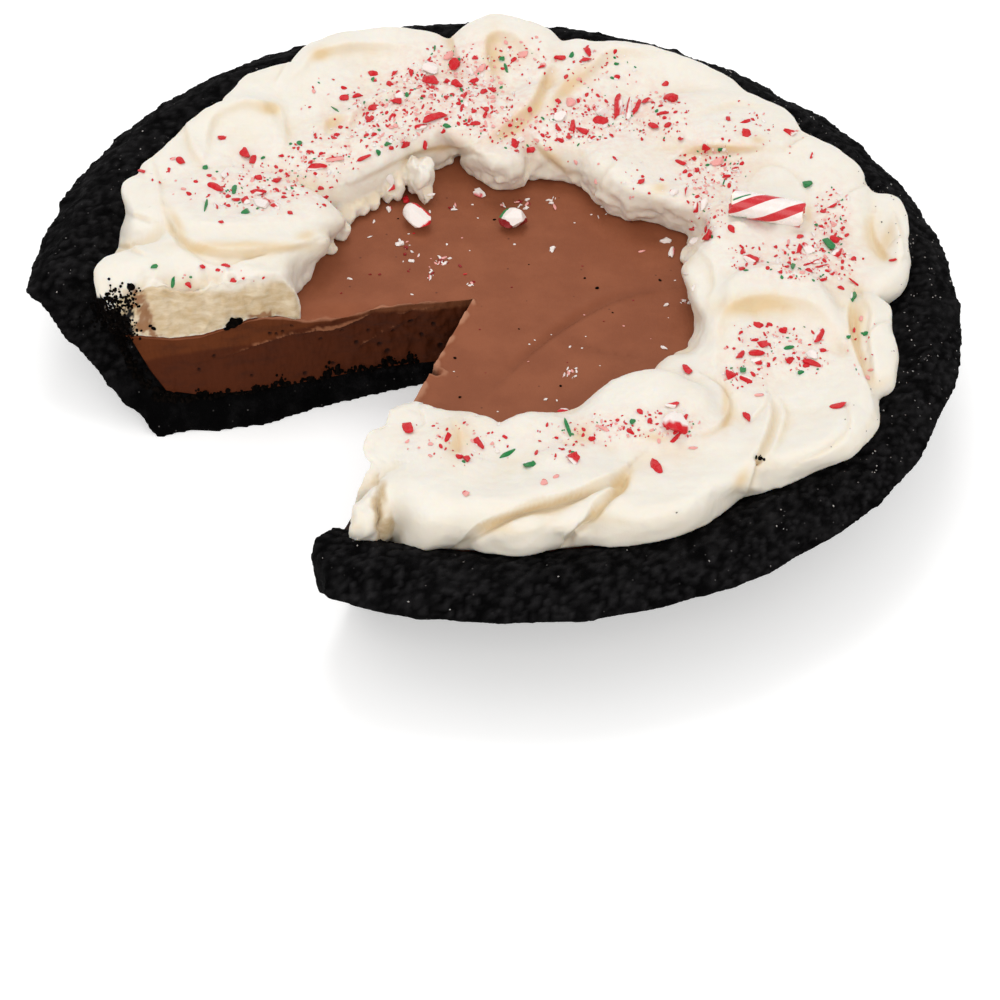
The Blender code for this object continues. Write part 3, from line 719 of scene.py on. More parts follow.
def makeFilling(finish):
    # a block of three shares: only its shell is made, finer towards the two cut faces
    even = np.linspace(0.0, 1.0, filling["turns"] + 1)
    turns = even - filling["crowding"] * np.sin(2.0 * np.pi * even)
    steps = (filling["turns"], filling["rings"], filling["heights"])
    order, faces = blockShell(steps)
    turn = turns[order[:, 0]]
    along = order[:, 1] / steps[1]
    up = order[:, 2] / steps[2]
    places = fillingPlace(turn, along, up)
    onTop = up == 1.0
    onLeft, onRight = turn == 1.0, turn == 0.0
    onCut = onLeft | onRight
    byRight = turn < 0.5
    out = np.hypot(*(places[:, :2] - np.array(pie["point"])).T)
    fromCut = np.minimum(turn, 1.0 - turn) * math.radians(pie["leftCut"] - pie["rightCut"]) * out
    # the left face leans out at its foot, and both faces are hollow, dragged and pitted
    below = (pie["fillingTop"] - places[:, 2]) / (pie["fillingTop"] - pie["floor"])
    share = np.clip(along / filling["hollowReach"], 0.0, 1.0)
    hollow = filling["hollow"] * np.sin(np.pi * share) * np.sin(np.pi * up)
    hollow -= filling["lean"] * below * blend(*filling["leansFrom"], filling["leanReach"] * along)
    torn = blend(*filling["tornUntil"], out)
    drawn = np.stack([out, out * 0.0, places[:, 2] * 0.3], -1)
    mark = 0.14 * grain(drawn, 1.5, 5) + 0.10 * grain(drawn, 0.7, 6)
    mark += (0.3 + 0.5 * torn) * grain(places, 5.0, 7)
    mark += torn * (0.35 * grain(places, 2.4, 12) + 0.9 * np.clip(grain(places, 3.6, 13) - 0.1, 0.0, None))
    face = np.stack([out, places[:, 2], out * 0.0], -1)
    scrape = lineRelief(face, filling["scrapes"]) * onLeft
    pit = np.zeros(len(places))
    for x, z, size in filling["pits"]:
        away = ((out - x) ** 2 + (places[:, 2] - z) ** 2) / size ** 2
        pit = np.maximum(pit, np.clip(1.3 - away, 0.0, 1.0) * onLeft)
    inward = np.where(onLeft, hollow, 0.0) - scrape + filling["pitDepth"] * pit
    inward += np.where(onCut & ~onTop & (up > 0.0), filling["cutBack"] + mark, 0.0)
    leftSide = np.append(direction(pie["leftCut"] - 90.0), 0.0)
    rightSide = np.append(direction(pie["rightCut"] + 90.0), 0.0)
    places = places + np.where(onLeft, inward, 0.0)[:, None] * leftSide
    places = places + np.where(onRight, inward, 0.0)[:, None] * rightSide
    # the top: creases, gentle waves, and a thin lip that the knife has raised along the cut
    crease = lineRelief(places, filling["creases"])
    relief = crease + 0.16 * grain(places, 16.0, 8) + 0.06 * grain(places, 4.0, 9)
    ragged = np.clip(0.5 + 0.9 * grain(places, 4.5, 10) + 0.4 * grain(places, 1.8, 11), 0.0, 1.5)
    wide = np.where(byRight, *filling["lipWidth"]) * (0.7 + 0.6 * ragged)
    lip = np.exp(-(fromCut / wide) ** 2) * (0.35 + ragged) * blend(*filling["lipFades"], out)
    # a ragged chip out of the top beside the right cut, open towards it
    chipOut, chipIn = filling["chip"]
    chipLength, chipWidth = filling["chipSizes"]
    fromChip = np.hypot((out - chipOut) / chipLength, np.clip(fromCut - chipIn, 0.0, None) / chipWidth)
    fromChip += 0.35 * grain(places, 1.3, 15)
    chip = np.where(byRight, np.clip(1.6 * (1.1 - fromChip), 0.0, 1.0), 0.0)
    chipRim = np.where(byRight, np.exp(-((fromChip - 1.25) / 0.25) ** 2), 0.0)
    relief += filling["chipRim"] * chipRim - filling["chipDepth"] * chip
    places[:, 2] += np.where(onTop, relief + filling["lipHeight"] * lip * (1.0 - chip), 0.0)
    places[:, 2] -= pressedDown(places) * up
    # what the finish needs: the paler band; painted shade in the pits and the creases' furrows, a darker
    # chip, and dark crumbs; pale scrapes, and pale lips with painted highlight on the creases' ridges
    bandFoot = np.interp(out, filling["bandAt"], filling["bandFoot"])
    onBand = onLeft * blend(-0.6, 0.6, places[:, 2] - bandFoot)
    sooted = blend(0.0, 0.5, out - filling["sootFrom"] + 2.5 * grain(places, 2.2, 16))
    sooted = sooted * (turn < filling["sootTurn"])
    shadeAndCrumbs = [pit, sooted, 0.62 * chip * onTop, 0.16 * np.clip(-crease, 0.0, 1.0) * onTop]
    scraped = blend(0.2, 0.42, scrape * (1.0 + 0.8 * grain(places, 1.6, 14)))
    scraped = filling["scrapeShare"] * blend(*filling["scrapeFades"], out) * scraped
    pale = filling["paleBand"] * onBand * blend(*filling["paleFades"], out)
    paleLipAndRidgeHighlight = np.where(byRight, 0.9, 0.6) * blend(0.25, 0.8, lip)
    paleLipAndRidgeHighlight = np.maximum(paleLipAndRidgeHighlight, 0.6 * chipRim + 0.5 * np.clip(crease, 0.0, 0.5))
    attributes = {
        "cutFace": onCut * 1.0 * ~(onTop & (out > 0.0)), "band": onBand, "pit": np.maximum.reduce(shadeAndCrumbs),
        "scrape": np.maximum(scraped, pale), "lip": np.where(onTop, paleLipAndRidgeHighlight, 0.0),
    }
    body = newPiece("chocolateFilling", places, faces, finish)
    for name, values in attributes.items():
        setAttribute(body, name, values)
    cleaned(body)
    shadeSmooth(body, 55.0)
    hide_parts("filling")
    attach(body, "root")
    print("filling", len(body.data.polygons), "faces")
    return body


# Whipped cream
cream = {
    "cell": 0.95, "fineCell": 0.55, "bulge": 5.0, "depth": 4.0, "sides": 2.5, "crown": 3.0,
    "lipPlace": 0.8, "leastTilt": 0.6, "dishTilt": 0.55, "warpSize": 22.0, "warp": 2.4, "warpLift": 0.9,
    "ringInner": 56.0, "ringOuter": 98.0, "ringTop": 40.0, "narrowing": 16.0, "overrun": 4.0, "inset": 0.6,
    # the warm colour is painted shade in hollows and folds, also used for a few candy stains; cutTone and
    # cutShade are painted shade on the cut face
    "white": (0.80, 0.765, 0.69), "warmShadeAndStain": (0.72, 0.55, 0.32), "cutTone": (0.72, 0.61, 0.45),
    "cutShade": (0.52, 0.38, 0.21), "pink": (0.76, 0.50, 0.42), "smearTone": (0.24, 0.088, 0.022),
    "soot": (0.0015, 0.0013, 0.0013), "softening": 22, "fineSoftening": 3, "upturn": 0.6, "ovalFade": 0.8,
    "sootEdge": 150.0, "leastFlat": 0.25, "tornSeed": 41, "tornSides": 7, "tornFlatness": (0.6, 0.95),
    # how far the cream stands back from the right cut: how far out, and the distance there
    "backAt": (60, 70, 80, 90, 98, 106), "backBy": (0.4, 1.2, 0.8, 1.6, 3.0, 3.4),
    # where the cream's end is fitted: out from the point, in from the cut, and the most pixels it is moved by
    "endFrom": 45.0, "endDepth": 14.0, "endShift": 14.0,
    # folds in the photograph's frame: points, rise on the left, drop on the right, and both widths
    "folds": [
        ([(436, 560), (457, 542), (470, 533), (485, 524), (505, 515), (530, 506), (560, 498), (590, 490),
          (612, 481), (626, 468)], 2.8, 3.2, 22, 7),
        ([(546, 560), (561, 541), (572, 529), (588, 515), (600, 502), (610, 492),
          (620, 482)], 2.6, 3.2, 16, 7),
        ([(388, 536), (384, 516), (379, 496), (372, 478)][::-1], 1.2, 2.6, 14, 7),
        ([(699, 433), (711, 430), (721, 423), (727, 414), (728, 404), (723, 393), (715, 384),
          (704, 376)], 0.9, 1.0, 12, 6),
        ([(744, 494), (751, 472), (757, 453), (765, 435), (770, 415), (768, 396)], 1.4, 1.8, 12, 10),
        ([(748, 421), (757, 413), (764, 404), (766, 394)], 0.3, 0.9, 5, 5),
        ([(716, 352), (717, 328), (725, 309), (742, 299), (765, 295), (790, 297), (812, 303), (828, 316),
          (838, 336)], 0.6, 0.9, 10, 20),
        ([(870, 394), (861, 372), (853, 350), (848, 330), (847, 308), (851, 296)], 1.0, 2.4, 10, 10),
        ([(864, 296), (872, 312), (870, 335), (873, 360), (878, 385)], 0.8, 0.8, 9, 6),
        ([(876, 214), (875, 228), (880, 242), (890, 254), (900, 256)], -0.2, 2.2, 6, 9),
        ([(893, 214), (897, 226), (901, 240), (903, 254)][::-1], 0.9, 0.6, 7, 6),
        ([(850, 408), (852, 424), (843, 440), (824, 454), (800, 464)], 0.7, 0.7, 9, 8),
        ([(776, 396), (784, 414), (778, 434), (770, 452)][::-1], 0.3, 0.9, 7, 9),
        ([(676, 157), (688, 150), (705, 147), (725, 147), (745, 148), (760, 146)], 1.0, 1.1, 12, 7),
        ([(696, 112), (712, 106), (735, 101), (760, 104)], 0.4, 0.8, 9, 9),
        ([(748, 190), (758, 172), (772, 167), (788, 172), (800, 184), (806, 196)][::-1], -0.1, 0.8, 6, 7),
        ([(492, 84), (487, 66), (484, 50), (486, 38), (498, 32), (515, 35), (528, 47)], 0.7, 1.3, 9, 15),
        ([(484, 139), (500, 129), (515, 119), (528, 107), (536, 94), (541, 80), (550, 64)], 1.5, 1.9, 12, 12),
        ([(547, 110), (552, 96), (562, 86), (577, 77), (592, 65), (604, 53), (622, 48),
          (650, 50)], 0.7, 1.1, 10, 15),
        ([(537, 141), (550, 156), (562, 165), (580, 172)], 0.7, 1.6, 8, 8),
        ([(640, 150), (620, 162), (606, 178), (604, 196)], 0.3, 0.5, 10, 12),
        ([(300, 70), (311, 56), (326, 49), (346, 45), (372, 43), (400, 46)], 0.9, 1.0, 8, 12),
        ([(226, 107), (244, 101), (262, 103), (277, 108), (286, 122)], 0.8, 1.1, 9, 12),
        ([(205, 150), (207, 130), (215, 114), (230, 105)], 0.5, 0.7, 9, 12),
        ([(186, 122), (190, 136), (194, 150), (206, 163)], 0.7, 1.0, 7, 8),
        ([(280, 112), (284, 130), (282, 152)][::-1], 0.1, 0.9, 8, 10),
        ([(346, 140), (349, 122), (360, 108), (380, 97), (402, 90)], 0.8, 0.7, 9, 8),
        ([(322, 134), (326, 121), (338, 115), (350, 118)], 0.3, 1.4, 6, 9),
        ([(166, 208), (172, 222), (182, 234), (198, 244), (222, 250), (255, 250), (288, 246),
          (312, 240)], 0.9, 1.6, 14, 9),
        ([(296, 248), (272, 253), (250, 260), (228, 266), (207, 264), (192, 254),
          (180, 241)], 0.7, 0.6, 10, 5),
        ([(150, 160), (157, 184), (161, 208), (168, 232), (180, 250), (196, 262)][::-1], 0.9, 0.3, 12, 9),
        ([(131, 213), (142, 215), (153, 220)], 0.6, 1.4, 7, 5), ([(118, 244), (130, 246),
          (144, 252)], 0.6, 1.4, 7, 5),
        ([(908, 243), (899, 241), (892, 245)], 0.4, 1.0, 6, 5), ([(888, 323), (880, 326),
          (872, 334)], 0.5, 1.2, 6, 5),
        ([(868, 187), (858, 190), (848, 196)], 0.4, 0.9, 7, 6), ([(450, 33), (455, 44),
          (458, 58)], 0.5, 1.2, 6, 6),
        ([(811, 137), (800, 142), (788, 150)], 0.5, 0.9, 7, 6), ([(290, 60), (284, 70),
          (276, 84)], 0.4, 0.8, 7, 6),
        ([(452, 420), (460, 432), (463, 450)], 0.3, 1.0, 5, 6), ([(556, 432), (566, 440),
          (580, 444)], 0.2, 0.7, 5, 6),
        ([(436, 165), (452, 155), (470, 150), (488, 156)], 0.6, 0.9, 8, 5),
        ([(350, 182), (372, 172), (395, 160), (420, 150), (450, 145), (476, 148)], 0.7, 1.0, 10, 7),
        ([(420, 402), (424, 416), (422, 430)], 0.3, 0.5, 6, 6), ([(700, 250), (712, 262), (716, 284),
          (710, 300)], 0.3, 0.8, 8, 9),
    ],
    # mounds and hollows in the photograph's frame: x, y, two half sizes, turn and height
    "mounds": [
        (792, 224, 24, 9, 12, 2.2), (738, 226, 14, 7, 0, 1.2), (520, 525, 40, 16, 20, 1.4),
        (430, 500, 46, 38, 0, 1.0), (660, 515, 60, 22, 10, 1.0), (700, 398, 34, 20, 0, 1.2),
        (620, 483, 14, 10, 45, -1.4), (655, 190, 30, 16, 0, 0.8), (455, 444, 16, 14, 0, -1.2),
        (230, 228, 60, 12, -4, 1.0), (245, 274, 60, 10, 0, 1.0), (775, 378, 40, 22, 0, -0.8),
        (500, 165, 28, 20, -10, 1.0), (420, 120, 70, 22, 15, -0.6), (255, 190, 50, 18, 0, -0.8),
        (758, 459, 7, 6, 0, -3.0), (379, 512, 10, 26, 0, -2.8), (560, 458, 46, 16, 12, 1.2),
        (470, 470, 40, 16, 10, 0.8), (620, 505, 30, 12, 25, 1.0),
    ],
    # warm painted shade in the hollows and creases, and a few real stains of melted candy, in the
    # photograph's frame: x, y, two half sizes, turn
    "shadeAndStains": [
        (458, 440, 13, 16, 0), (622, 482, 14, 6, 50), (580, 436, 9, 8, 0), (655, 437, 12, 4, -10),
        (272, 109, 9, 4, -10), (332, 123, 9, 7, 0), (858, 318, 8, 20, -10), (887, 240, 6, 16, -20),
        (492, 55, 8, 20, 0), (720, 149, 40, 3, 0), (540, 95, 5, 16, -20), (515, 124, 22, 5, 35),
        (570, 84, 22, 6, 45), (750, 305, 32, 9, 5), (250, 247, 60, 4, 0), (178, 224, 4, 14, 30),
        (725, 405, 4, 20, 0), (306, 236, 9, 5, 10), (440, 148, 18, 3, 10), (553, 157, 14, 4, -35),
        (660, 190, 7, 4, 0), (808, 216, 4, 9, 0), (320, 54, 9, 5, 10), (757, 141, 6, 4, 0),
        (740, 480, 10, 5, 60),
    ],
    # brown smears of the filling on the cut face
    "smears": [
        (135, 300, 9, 14, 0), (143, 316, 9, 11, 0), (134, 286, 8, 6, 0), (152, 328, 10, 6, 0),
        (168, 331, 12, 5, 0), (262, 315, 18, 2.5, 8), (246, 322, 10, 3, 8),
    ],
    # where crumbs of the crust cover the outer end of the cut face
    "sooted": [(106, 314, 16, 14, 0), (120, 322, 14, 15, 0), (126, 336, 14, 8, 0), (96, 302, 8, 8, 0)],
    # the cream's edges in the photograph's frame, anticlockwise from the right cut
    "innerEdge": [
        (417, 403), (445, 410), (470, 412), (487, 419), (501, 424), (510, 419), (527, 414), (545, 414),
        (566, 412), (581, 406), (596, 393), (612, 380), (630, 373), (650, 368), (662, 362), (671, 352),
        (686, 350), (689, 340), (697, 318), (689, 300), (682, 275), (679, 261), (682, 249), (689, 238),
        (680, 229), (678, 219), (660, 217), (628, 220), (607, 211), (593, 200), (584, 188), (568, 181),
        (548, 178), (527, 182), (514, 188), (500, 189), (485, 182), (473, 166), (464, 162), (450, 163),
        (436, 168), (420, 173), (404, 180), (390, 190), (374, 203), (358, 216), (346, 226), (338, 236),
        (330, 246), (326, 256), (314, 266), (306, 284), (300, 303),
    ],
    "outerEdge": [
        (392, 536), (404, 547), (422, 550), (444, 545), (457, 541), (475, 548), (498, 553), (519, 557),
        (540, 552), (561, 539), (580, 544), (612, 546), (650, 545), (680, 539), (708, 526), (730, 508),
        (744, 494), (760, 496), (782, 489), (812, 478), (850, 462), (872, 444), (883, 420), (881, 407),
        (896, 386), (899, 355), (895, 336), (889, 322), (902, 300), (909, 281), (912, 260), (906, 242),
        (910, 228), (904, 206), (890, 192), (868, 187), (863, 169), (850, 157), (837, 144), (811, 137),
        (801, 122), (788, 108), (752, 92), (722, 74), (692, 60), (652, 48), (592, 41), (556, 32), (528, 22),
        (492, 17), (468, 24), (450, 33), (425, 29), (380, 28), (345, 31), (308, 44), (290, 61), (262, 69),
        (241, 77), (235, 91), (200, 113), (174, 132), (152, 158), (130, 169), (122, 194), (130, 213),
        (119, 232), (118, 244), (99, 256), (94, 276),
    ],
    # the same at the right cut: row, and where the cream begins in it
    "cutOutline": [
        (401, 412), (404, 400), (409, 390), (418, 387), (424, 386), (427, 380), (429, 373), (434, 367),
        (441, 364), (449, 363), (457, 366), (463, 371), (468, 370), (472, 366), (480, 363), (490, 358),
        (500, 354), (515, 351), (531, 349),
    ],
    # where the cut face begins in each column
    "cutBorder": [
        (120, 272), (132, 276), (150, 283), (180, 288), (215, 290), (250, 285), (278, 280), (297, 290),
    ],
    # rough places, and the hollow at the right cut, which gets painted tan shade
    "rough": [
        (362, 508, 14, 32, 0), (374, 440, 12, 24, 0), (500, 178, 24, 12, 0), (424, 186, 14, 20, 0),
        (600, 196, 50, 11, -24), (560, 172, 24, 9, 0), (650, 214, 36, 7, -4), (676, 250, 9, 40, 0),
        (120, 300, 16, 14, 0), (160, 285, 30, 5, 0),
    ],
    "cutEnd": [(376, 506, 9, 26, 0), (381, 526, 12, 12, 0)],
    # torn bits that hang over the filling: place, three half sizes
    "torn": [
        (-20.8, 42.6, 33.4, 3.0, 5.6, 5.6), (-19.9, 38.6, 30.6, 1.9, 3.4, 2.3),
        (-23.8, 43.2, 34.6, 2.0, 4.0, 4.6), (-27.2, 41.4, 31.8, 1.3, 4.4, 3.6),
        (-30.2, 39.2, 31.0, 1.6, 4.2, 2.8), (-33.6, 36.2, 30.6, 1.9, 4.0, 2.4),
        (-37.0, 33.4, 30.6, 2.2, 4.0, 2.6), (-40.6, 29.0, 30.4, 2.6, 3.4, 2.6),
        (-44.6, 15.6, 29.8, 2.4, 1.4, 1.6), (-42.0, 22.0, 31.0, 2.8, 2.8, 3.0),
        (-0.6, 47.0, 34.4, 3.2, 3.0, 4.6), (4.9, 48.0, 30.8, 2.6, 2.4, 2.6),
    ],
    "edgeMiddle": (520, 290), "edgeReach": (75, 18), "pixelsAcross": 3.87, "pixelsBack": 2.56,
    # x, y, half length, half width, turn, lip's direction, height, dish
    "swirls": [
        (-27, -91, 12, 4, 78, 0, 41.0, 0.0), (3, -79, 31, 20, 18, 262, 44.0, 3.0),
        (12, -93, 18, 12, 30, 290, 41.5, 0.5), (44, -77, 28, 19, 38, 305, 44.0, 3.0),
        (38, -57, 19, 15, 25, 10, 44.5, 1.5), (77, -52, 25, 19, 70, 310, 43.5, 3.5),
        (71, -19, 22, 18, 100, 90, 44.5, 5.0), (54, -15, 24, 9, 95, 0, 42.0, 1.0),
        (95, -24, 19, 8, 95, 0, 42.5, 0.5), (99, 15, 22, 9, 82, 0, 42.5, 3.0),
        (72, 14, 26, 22, 95, 200, 43.0, 2.0), (82, 40, 24, 17, 120, 30, 43.0, 2.0),
        (60, 62, 22, 16, 155, 250, 44.5, 1.5), (38, 78, 30, 21, 160, 120, 44.0, 4.0),
        (40, 42, 22, 15, 140, 230, 42.5, 2.0), (0, 90, 22, 16, 95, 100, 46.0, 4.0),
        (16, 62, 20, 14, 150, 150, 43.0, 1.0), (-1, 50, 16, 7, 90, 270, 41.0, 0.5),
        (-37, 82, 26, 20, 15, 110, 44.0, 3.5), (-18, 64, 24, 16, 15, 290, 43.5, 1.0),
        (-42, 50, 22, 15, 45, 300, 43.0, 1.5), (-60, 66, 20, 16, 50, 130, 43.5, 2.5),
        (-71, 47, 17, 15, 60, 100, 44.0, 4.0), (-82, 38, 22, 10, 65, 150, 42.5, 1.0),
        (-68, 18, 25, 17, 5, 265, 45.5, 3.0), (-66, 4, 24, 12, 3, 265, 44.5, 1.5),
        (-92, 18, 14, 9, 90, 180, 42.5, 0.5), (-75, -10, 27, 17, 5, 200, 44.5, 2.0),
    ],
}


def creamFinish():
    made = Finish("whippedCream")
    cloud = made.noise(10.0, 3.0, 0.5).above(0.3, 0.75)
    # painted warm shade in hollows and folds, and a few candy stains, with a little random tone
    shade = made.attribute("hollow") * 0.9 + cloud * 0.10
    colour = shade.mix(cream["white"], cream["warmShadeAndStain"])
    cutShadeMottle = made.noise(3.6, 4.0, 0.6, (1.4, 1.4, 0.6)).above(0.25, 0.8)
    # painted shade on the cut face and in the hollow at the right cut, mottled
    colour = made.attribute("cutFace").mix(colour, cutShadeMottle.mix(cream["cutShade"], cream["cutTone"]))
    colour = (made.attribute("blush") * made.noise(2.2, 3.0, 0.6).above(0.35, 0.7)).mix(colour, cream["pink"])
    colour = made.attribute("smear").mix(colour, cream["smearTone"])
    soot = made.attribute("soot")
    colour = soot.mix(colour, cream["soot"])
    made.set(colour=colour, roughness=0.48 + 0.1 * cloud + 0.4 * soot, specular=0.3,
             glow=0.5, glowColours=(1.0, 0.72, 0.45), glowDepth=1.3 * mm)
    made.bump(made.noise(1.6, 4.0, 0.6) * 0.7 + made.noise(5.0, 2.0) * 0.6, 0.18)
    return made


def bedHeight(radius):
    share = blend(pie["fillingEdge"] - 3.0, pie["rimInner"], radius)
    return pie["fillingTop"] + (pie["rimHeight"] - pie["fillingTop"]) * share


def swirlRings(swirl, around=84, upper=26, lower=8):
    x, y, length, width, turn, lip, top, dish = swirl
    latitudes = np.radians([*np.linspace(90, 0, upper + 1), *np.linspace(0, -90, lower + 1)[1:]])
    middle = float(bedHeight(math.hypot(x, y))) + cream["bulge"]
    rings = []
    c, s = direction(turn)
    for latitude in latitudes:
        pole = abs(abs(latitude) - math.pi / 2) < 1e-6
        slant = np.arange(1 if pole else around) * 2.0 * np.pi / around
        power = 2.0 / (cream["crown"] if latitude >= 0 else cream["sides"])
        out = 0.0 if pole else math.cos(latitude) ** power
        up = abs(math.sin(latitude)) ** power
        alongX, alongY = length * out * np.cos(slant), width * out * np.sin(slant)
        if latitude >= 0:
            facing = np.cos(slant + math.radians(turn - lip))
            share = out / cream["lipPlace"]
            tilt = (cream["leastTilt"] + cream["dishTilt"] * dish) * facing * min(share, 1.0)
            height = middle + up * (top - middle + tilt - dish * max(0.0, 1.0 - share ** 2))
        else:
            height = np.full(len(slant), middle - up * (cream["bulge"] + cream["depth"]))
        rings.append(np.stack([x + c * alongX - s * alongY, y + s * alongX + c * alongY, height], -1))
    return rings


def ringRings(turns=300, sides=48):
    slant = 2.0 * np.pi * np.arange(sides) / sides
    across = np.sign(np.cos(slant)) * abs(np.cos(slant)) ** 0.6
    lift = np.sign(np.sin(slant)) * abs(np.sin(slant)) ** 0.8
    rows = []
    first, last = pie["rightCut"] - cream["overrun"], pie["leftCut"] + cream["overrun"]
    for angle in np.linspace(first, last, turns + 1):
        outer = cream["ringOuter"] - cream["narrowing"] * (1.0 - blend(0.0, 14.0, angle - pie["rightCut"]))
        radius = cream["ringInner"] + 0.5 * (outer - cream["ringInner"]) * (1.0 + across)
        ground = bedHeight(radius)
        height = ground + lift * np.where(lift > 0, cream["ringTop"] - ground, cream["depth"])
        x, y = onPie(radius, angle)
        rows.append(np.stack([x, y, height], -1))
    return [rows[0].mean(0)[None], *rows, rows[-1].mean(0)[None]]


def warped(places):
    # the same bends as in the solids
    moved = places.copy()
    for index, (x, y, _) in enumerate(places):
        seed = Vector((x, y, 0.0)) / cream["warpSize"]
        moved[index, 0] += cream["warp"] * noise.noise(seed + Vector((5.2, 1.3, 8.1)))
        moved[index, 1] += cream["warp"] * noise.noise(seed + Vector((9.7, 4.6, 2.8)))
        moved[index, 2] += cream["warpLift"] * noise.noise(seed * 1.6 + Vector((3.3, 7.7, 5.5)))
    return moved


def bedCutter():
    outer = 1.2 * pie["rim"]
    top = pie["rimHeight"] + pie["rimRise"] + pie["gap"]
    gap, inset = pie["gap"], cream["inset"]
    outline = [
        (0.0, pie["fillingTop"] + gap), (pie["fillingEdge"] - inset, pie["fillingTop"] + gap),
        (pie["ledge"][0] - inset, pie["ledge"][1] + gap), (pie["rimInner"] - inset, pie["rimHeight"] + gap),
        (0.5 * (pie["rimInner"] + pie["rim"]), top), (outer, top), (outer, 0.0), (0.0, 0.0),
    ]
    places = []
    counts = []
    for radius, height in outline:
        angles = np.arange(120 if radius > 0.0 else 1) * 3.0
        x, y = onPie(radius, angles)
        places.append(np.stack([x + 0.0 * angles, y + 0.0 * angles, height + 0.0 * angles], -1))
        counts.append(len(angles))
    return facedOut(newPiece("bedCutter", np.vstack(places), loftFaces(counts)))


def sliceCutter():
    angles = (pie["leftCut"], pie["sliceMiddle"], pie["rightCut"] + 360.0)
    flat = [onPie(0.0, 0.0)] + [onPie(1.5 * pie["rim"], angle) for angle in angles]
    places = [(x, y, -70.0) for x, y in flat] + [(x, y, 70.0) for x, y in flat]
    faces = [(3, 2, 1, 0), (4, 5, 6, 7)] + [(a, (a + 1) % 4, (a + 1) % 4 + 4, a + 4) for a in range(4)]
    return facedOut(newPiece("sliceCutter", places, faces))


def polar(spots):
    # angle and reach of spots in the photograph's frame, about the middle of the filling that shows
    away = (np.asarray(spots, float) - cream["edgeMiddle"]) * (1, -1)
    return np.degrees(np.arctan2(away[:, 1], away[:, 0])) % 360.0, np.hypot(away[:, 0], away[:, 1])


def softened(values, reach):
    return sum(np.roll(values, step) for step in range(-reach, reach + 1)) / (2 * reach + 1)


def edgesFitted(places, picture):
    # draws the cream's inner and outer edge onto the ones that the photograph shows
    spots, _ = picture.spots(places)
    angle, reach = polar(spots)
    above = places[:, 2] > bedHeight(np.hypot(places[:, 0], places[:, 1])) + 0.4
    degree = angle.astype(int) % 360
    shift = np.zeros(len(places))
    broadReach, fineReach = cream["edgeReach"]

    def atAngle(values):
        return np.interp(angle, np.arange(360) + 0.5, values, period=360.0)

    for name, pick, start in (("innerEdge", np.minimum, 1e4), ("outerEdge", np.maximum, 0.0)):
        own = np.full(360, start)
        pick.at(own, degree[above], reach[above])
        own = softened(own, 2)
        edgeAngle, edgeReach = polar(cream[name])
        order = np.argsort(edgeAngle)
        wanted = np.interp(np.arange(360) + 0.5, edgeAngle[order], edgeReach[order], period=360.0)
        gap = np.where((own > 40.0) & (own < 999.0), np.clip(wanted - own, -30.0, 30.0), 0.0)
        broad = softened(gap, 4)
        fine = softened(gap, 1) - broad
        away = abs(reach - atAngle(own))
        shift += atAngle(broad) * blend(broadReach, 0.0, away)
        shift += atAngle(fine) * blend(fineReach, 3.0, away)
        print(name, "moved by", round(float(abs(gap).mean()), 1), "pixels on average")
    moved = places.copy()
    moved[:, 0] += shift * np.cos(np.radians(angle)) / cream["pixelsAcross"]
    moved[:, 1] += shift * np.sin(np.radians(angle)) / cream["pixelsBack"]
    return moved


def withTorn(body):
    # adds the torn bits, as broken balls that stand on the filling
    draw = random.Random(cream["tornSeed"])
    ball = ballShape(4)
    bm = bmesh.new()
    bm.from_mesh(body.data)
    for x, y, z, *halves in cream["torn"]:
        shape, faces = brokenShape(draw, ball, cream["tornSides"], cream["tornFlatness"])
        shape = shape * (1.0 + 0.22 * grain(shape, 0.7, 51) + 0.14 * grain(shape, 0.3, 52))[:, None]
        shape = shape * halves + (x, y, z)
        shape[:, 2] = np.maximum(shape[:, 2], pie["fillingTop"] + pie["gap"])
        verts = [bm.verts.new(place * mm) for place in shape]
        for face in faces:
            bm.faces.new([verts[corner] for corner in face])
    bm.to_mesh(body.data)
    bm.free()


def endFitted(places, picture, out, inside, above):
    # the cream's outline at the right cut follows the one in the photograph, row by row
    spots, _ = picture.spots(places)
    row = np.clip(spots[:, 1].astype(int), 0, 999)
    own = np.full(1000, 1e4)
    near = (above > 0.4) & (inside < cream["endDepth"]) & (out > cream["endFrom"])
    np.minimum.at(own, row[near], spots[near, 0])
    rows, wanted = zip(*cream["cutOutline"])
    most = cream["endShift"]
    gap = np.clip(np.interp(np.arange(1000), rows, wanted) - own, -most, most)
    gap[own >= 1000.0] = 0.0
    gap[:rows[0] - 4] = 0.0
    gap[rows[-1] + 6:] = 0.0
    moved = places.copy()
    fade = blend(20.0, 9.0, inside) * blend(40.0, 50.0, out) * blend(-0.4, 0.4, above)
    moved[:, 0] += softened(gap, 1)[row] * fade / cream["pixelsAcross"]
    return moved


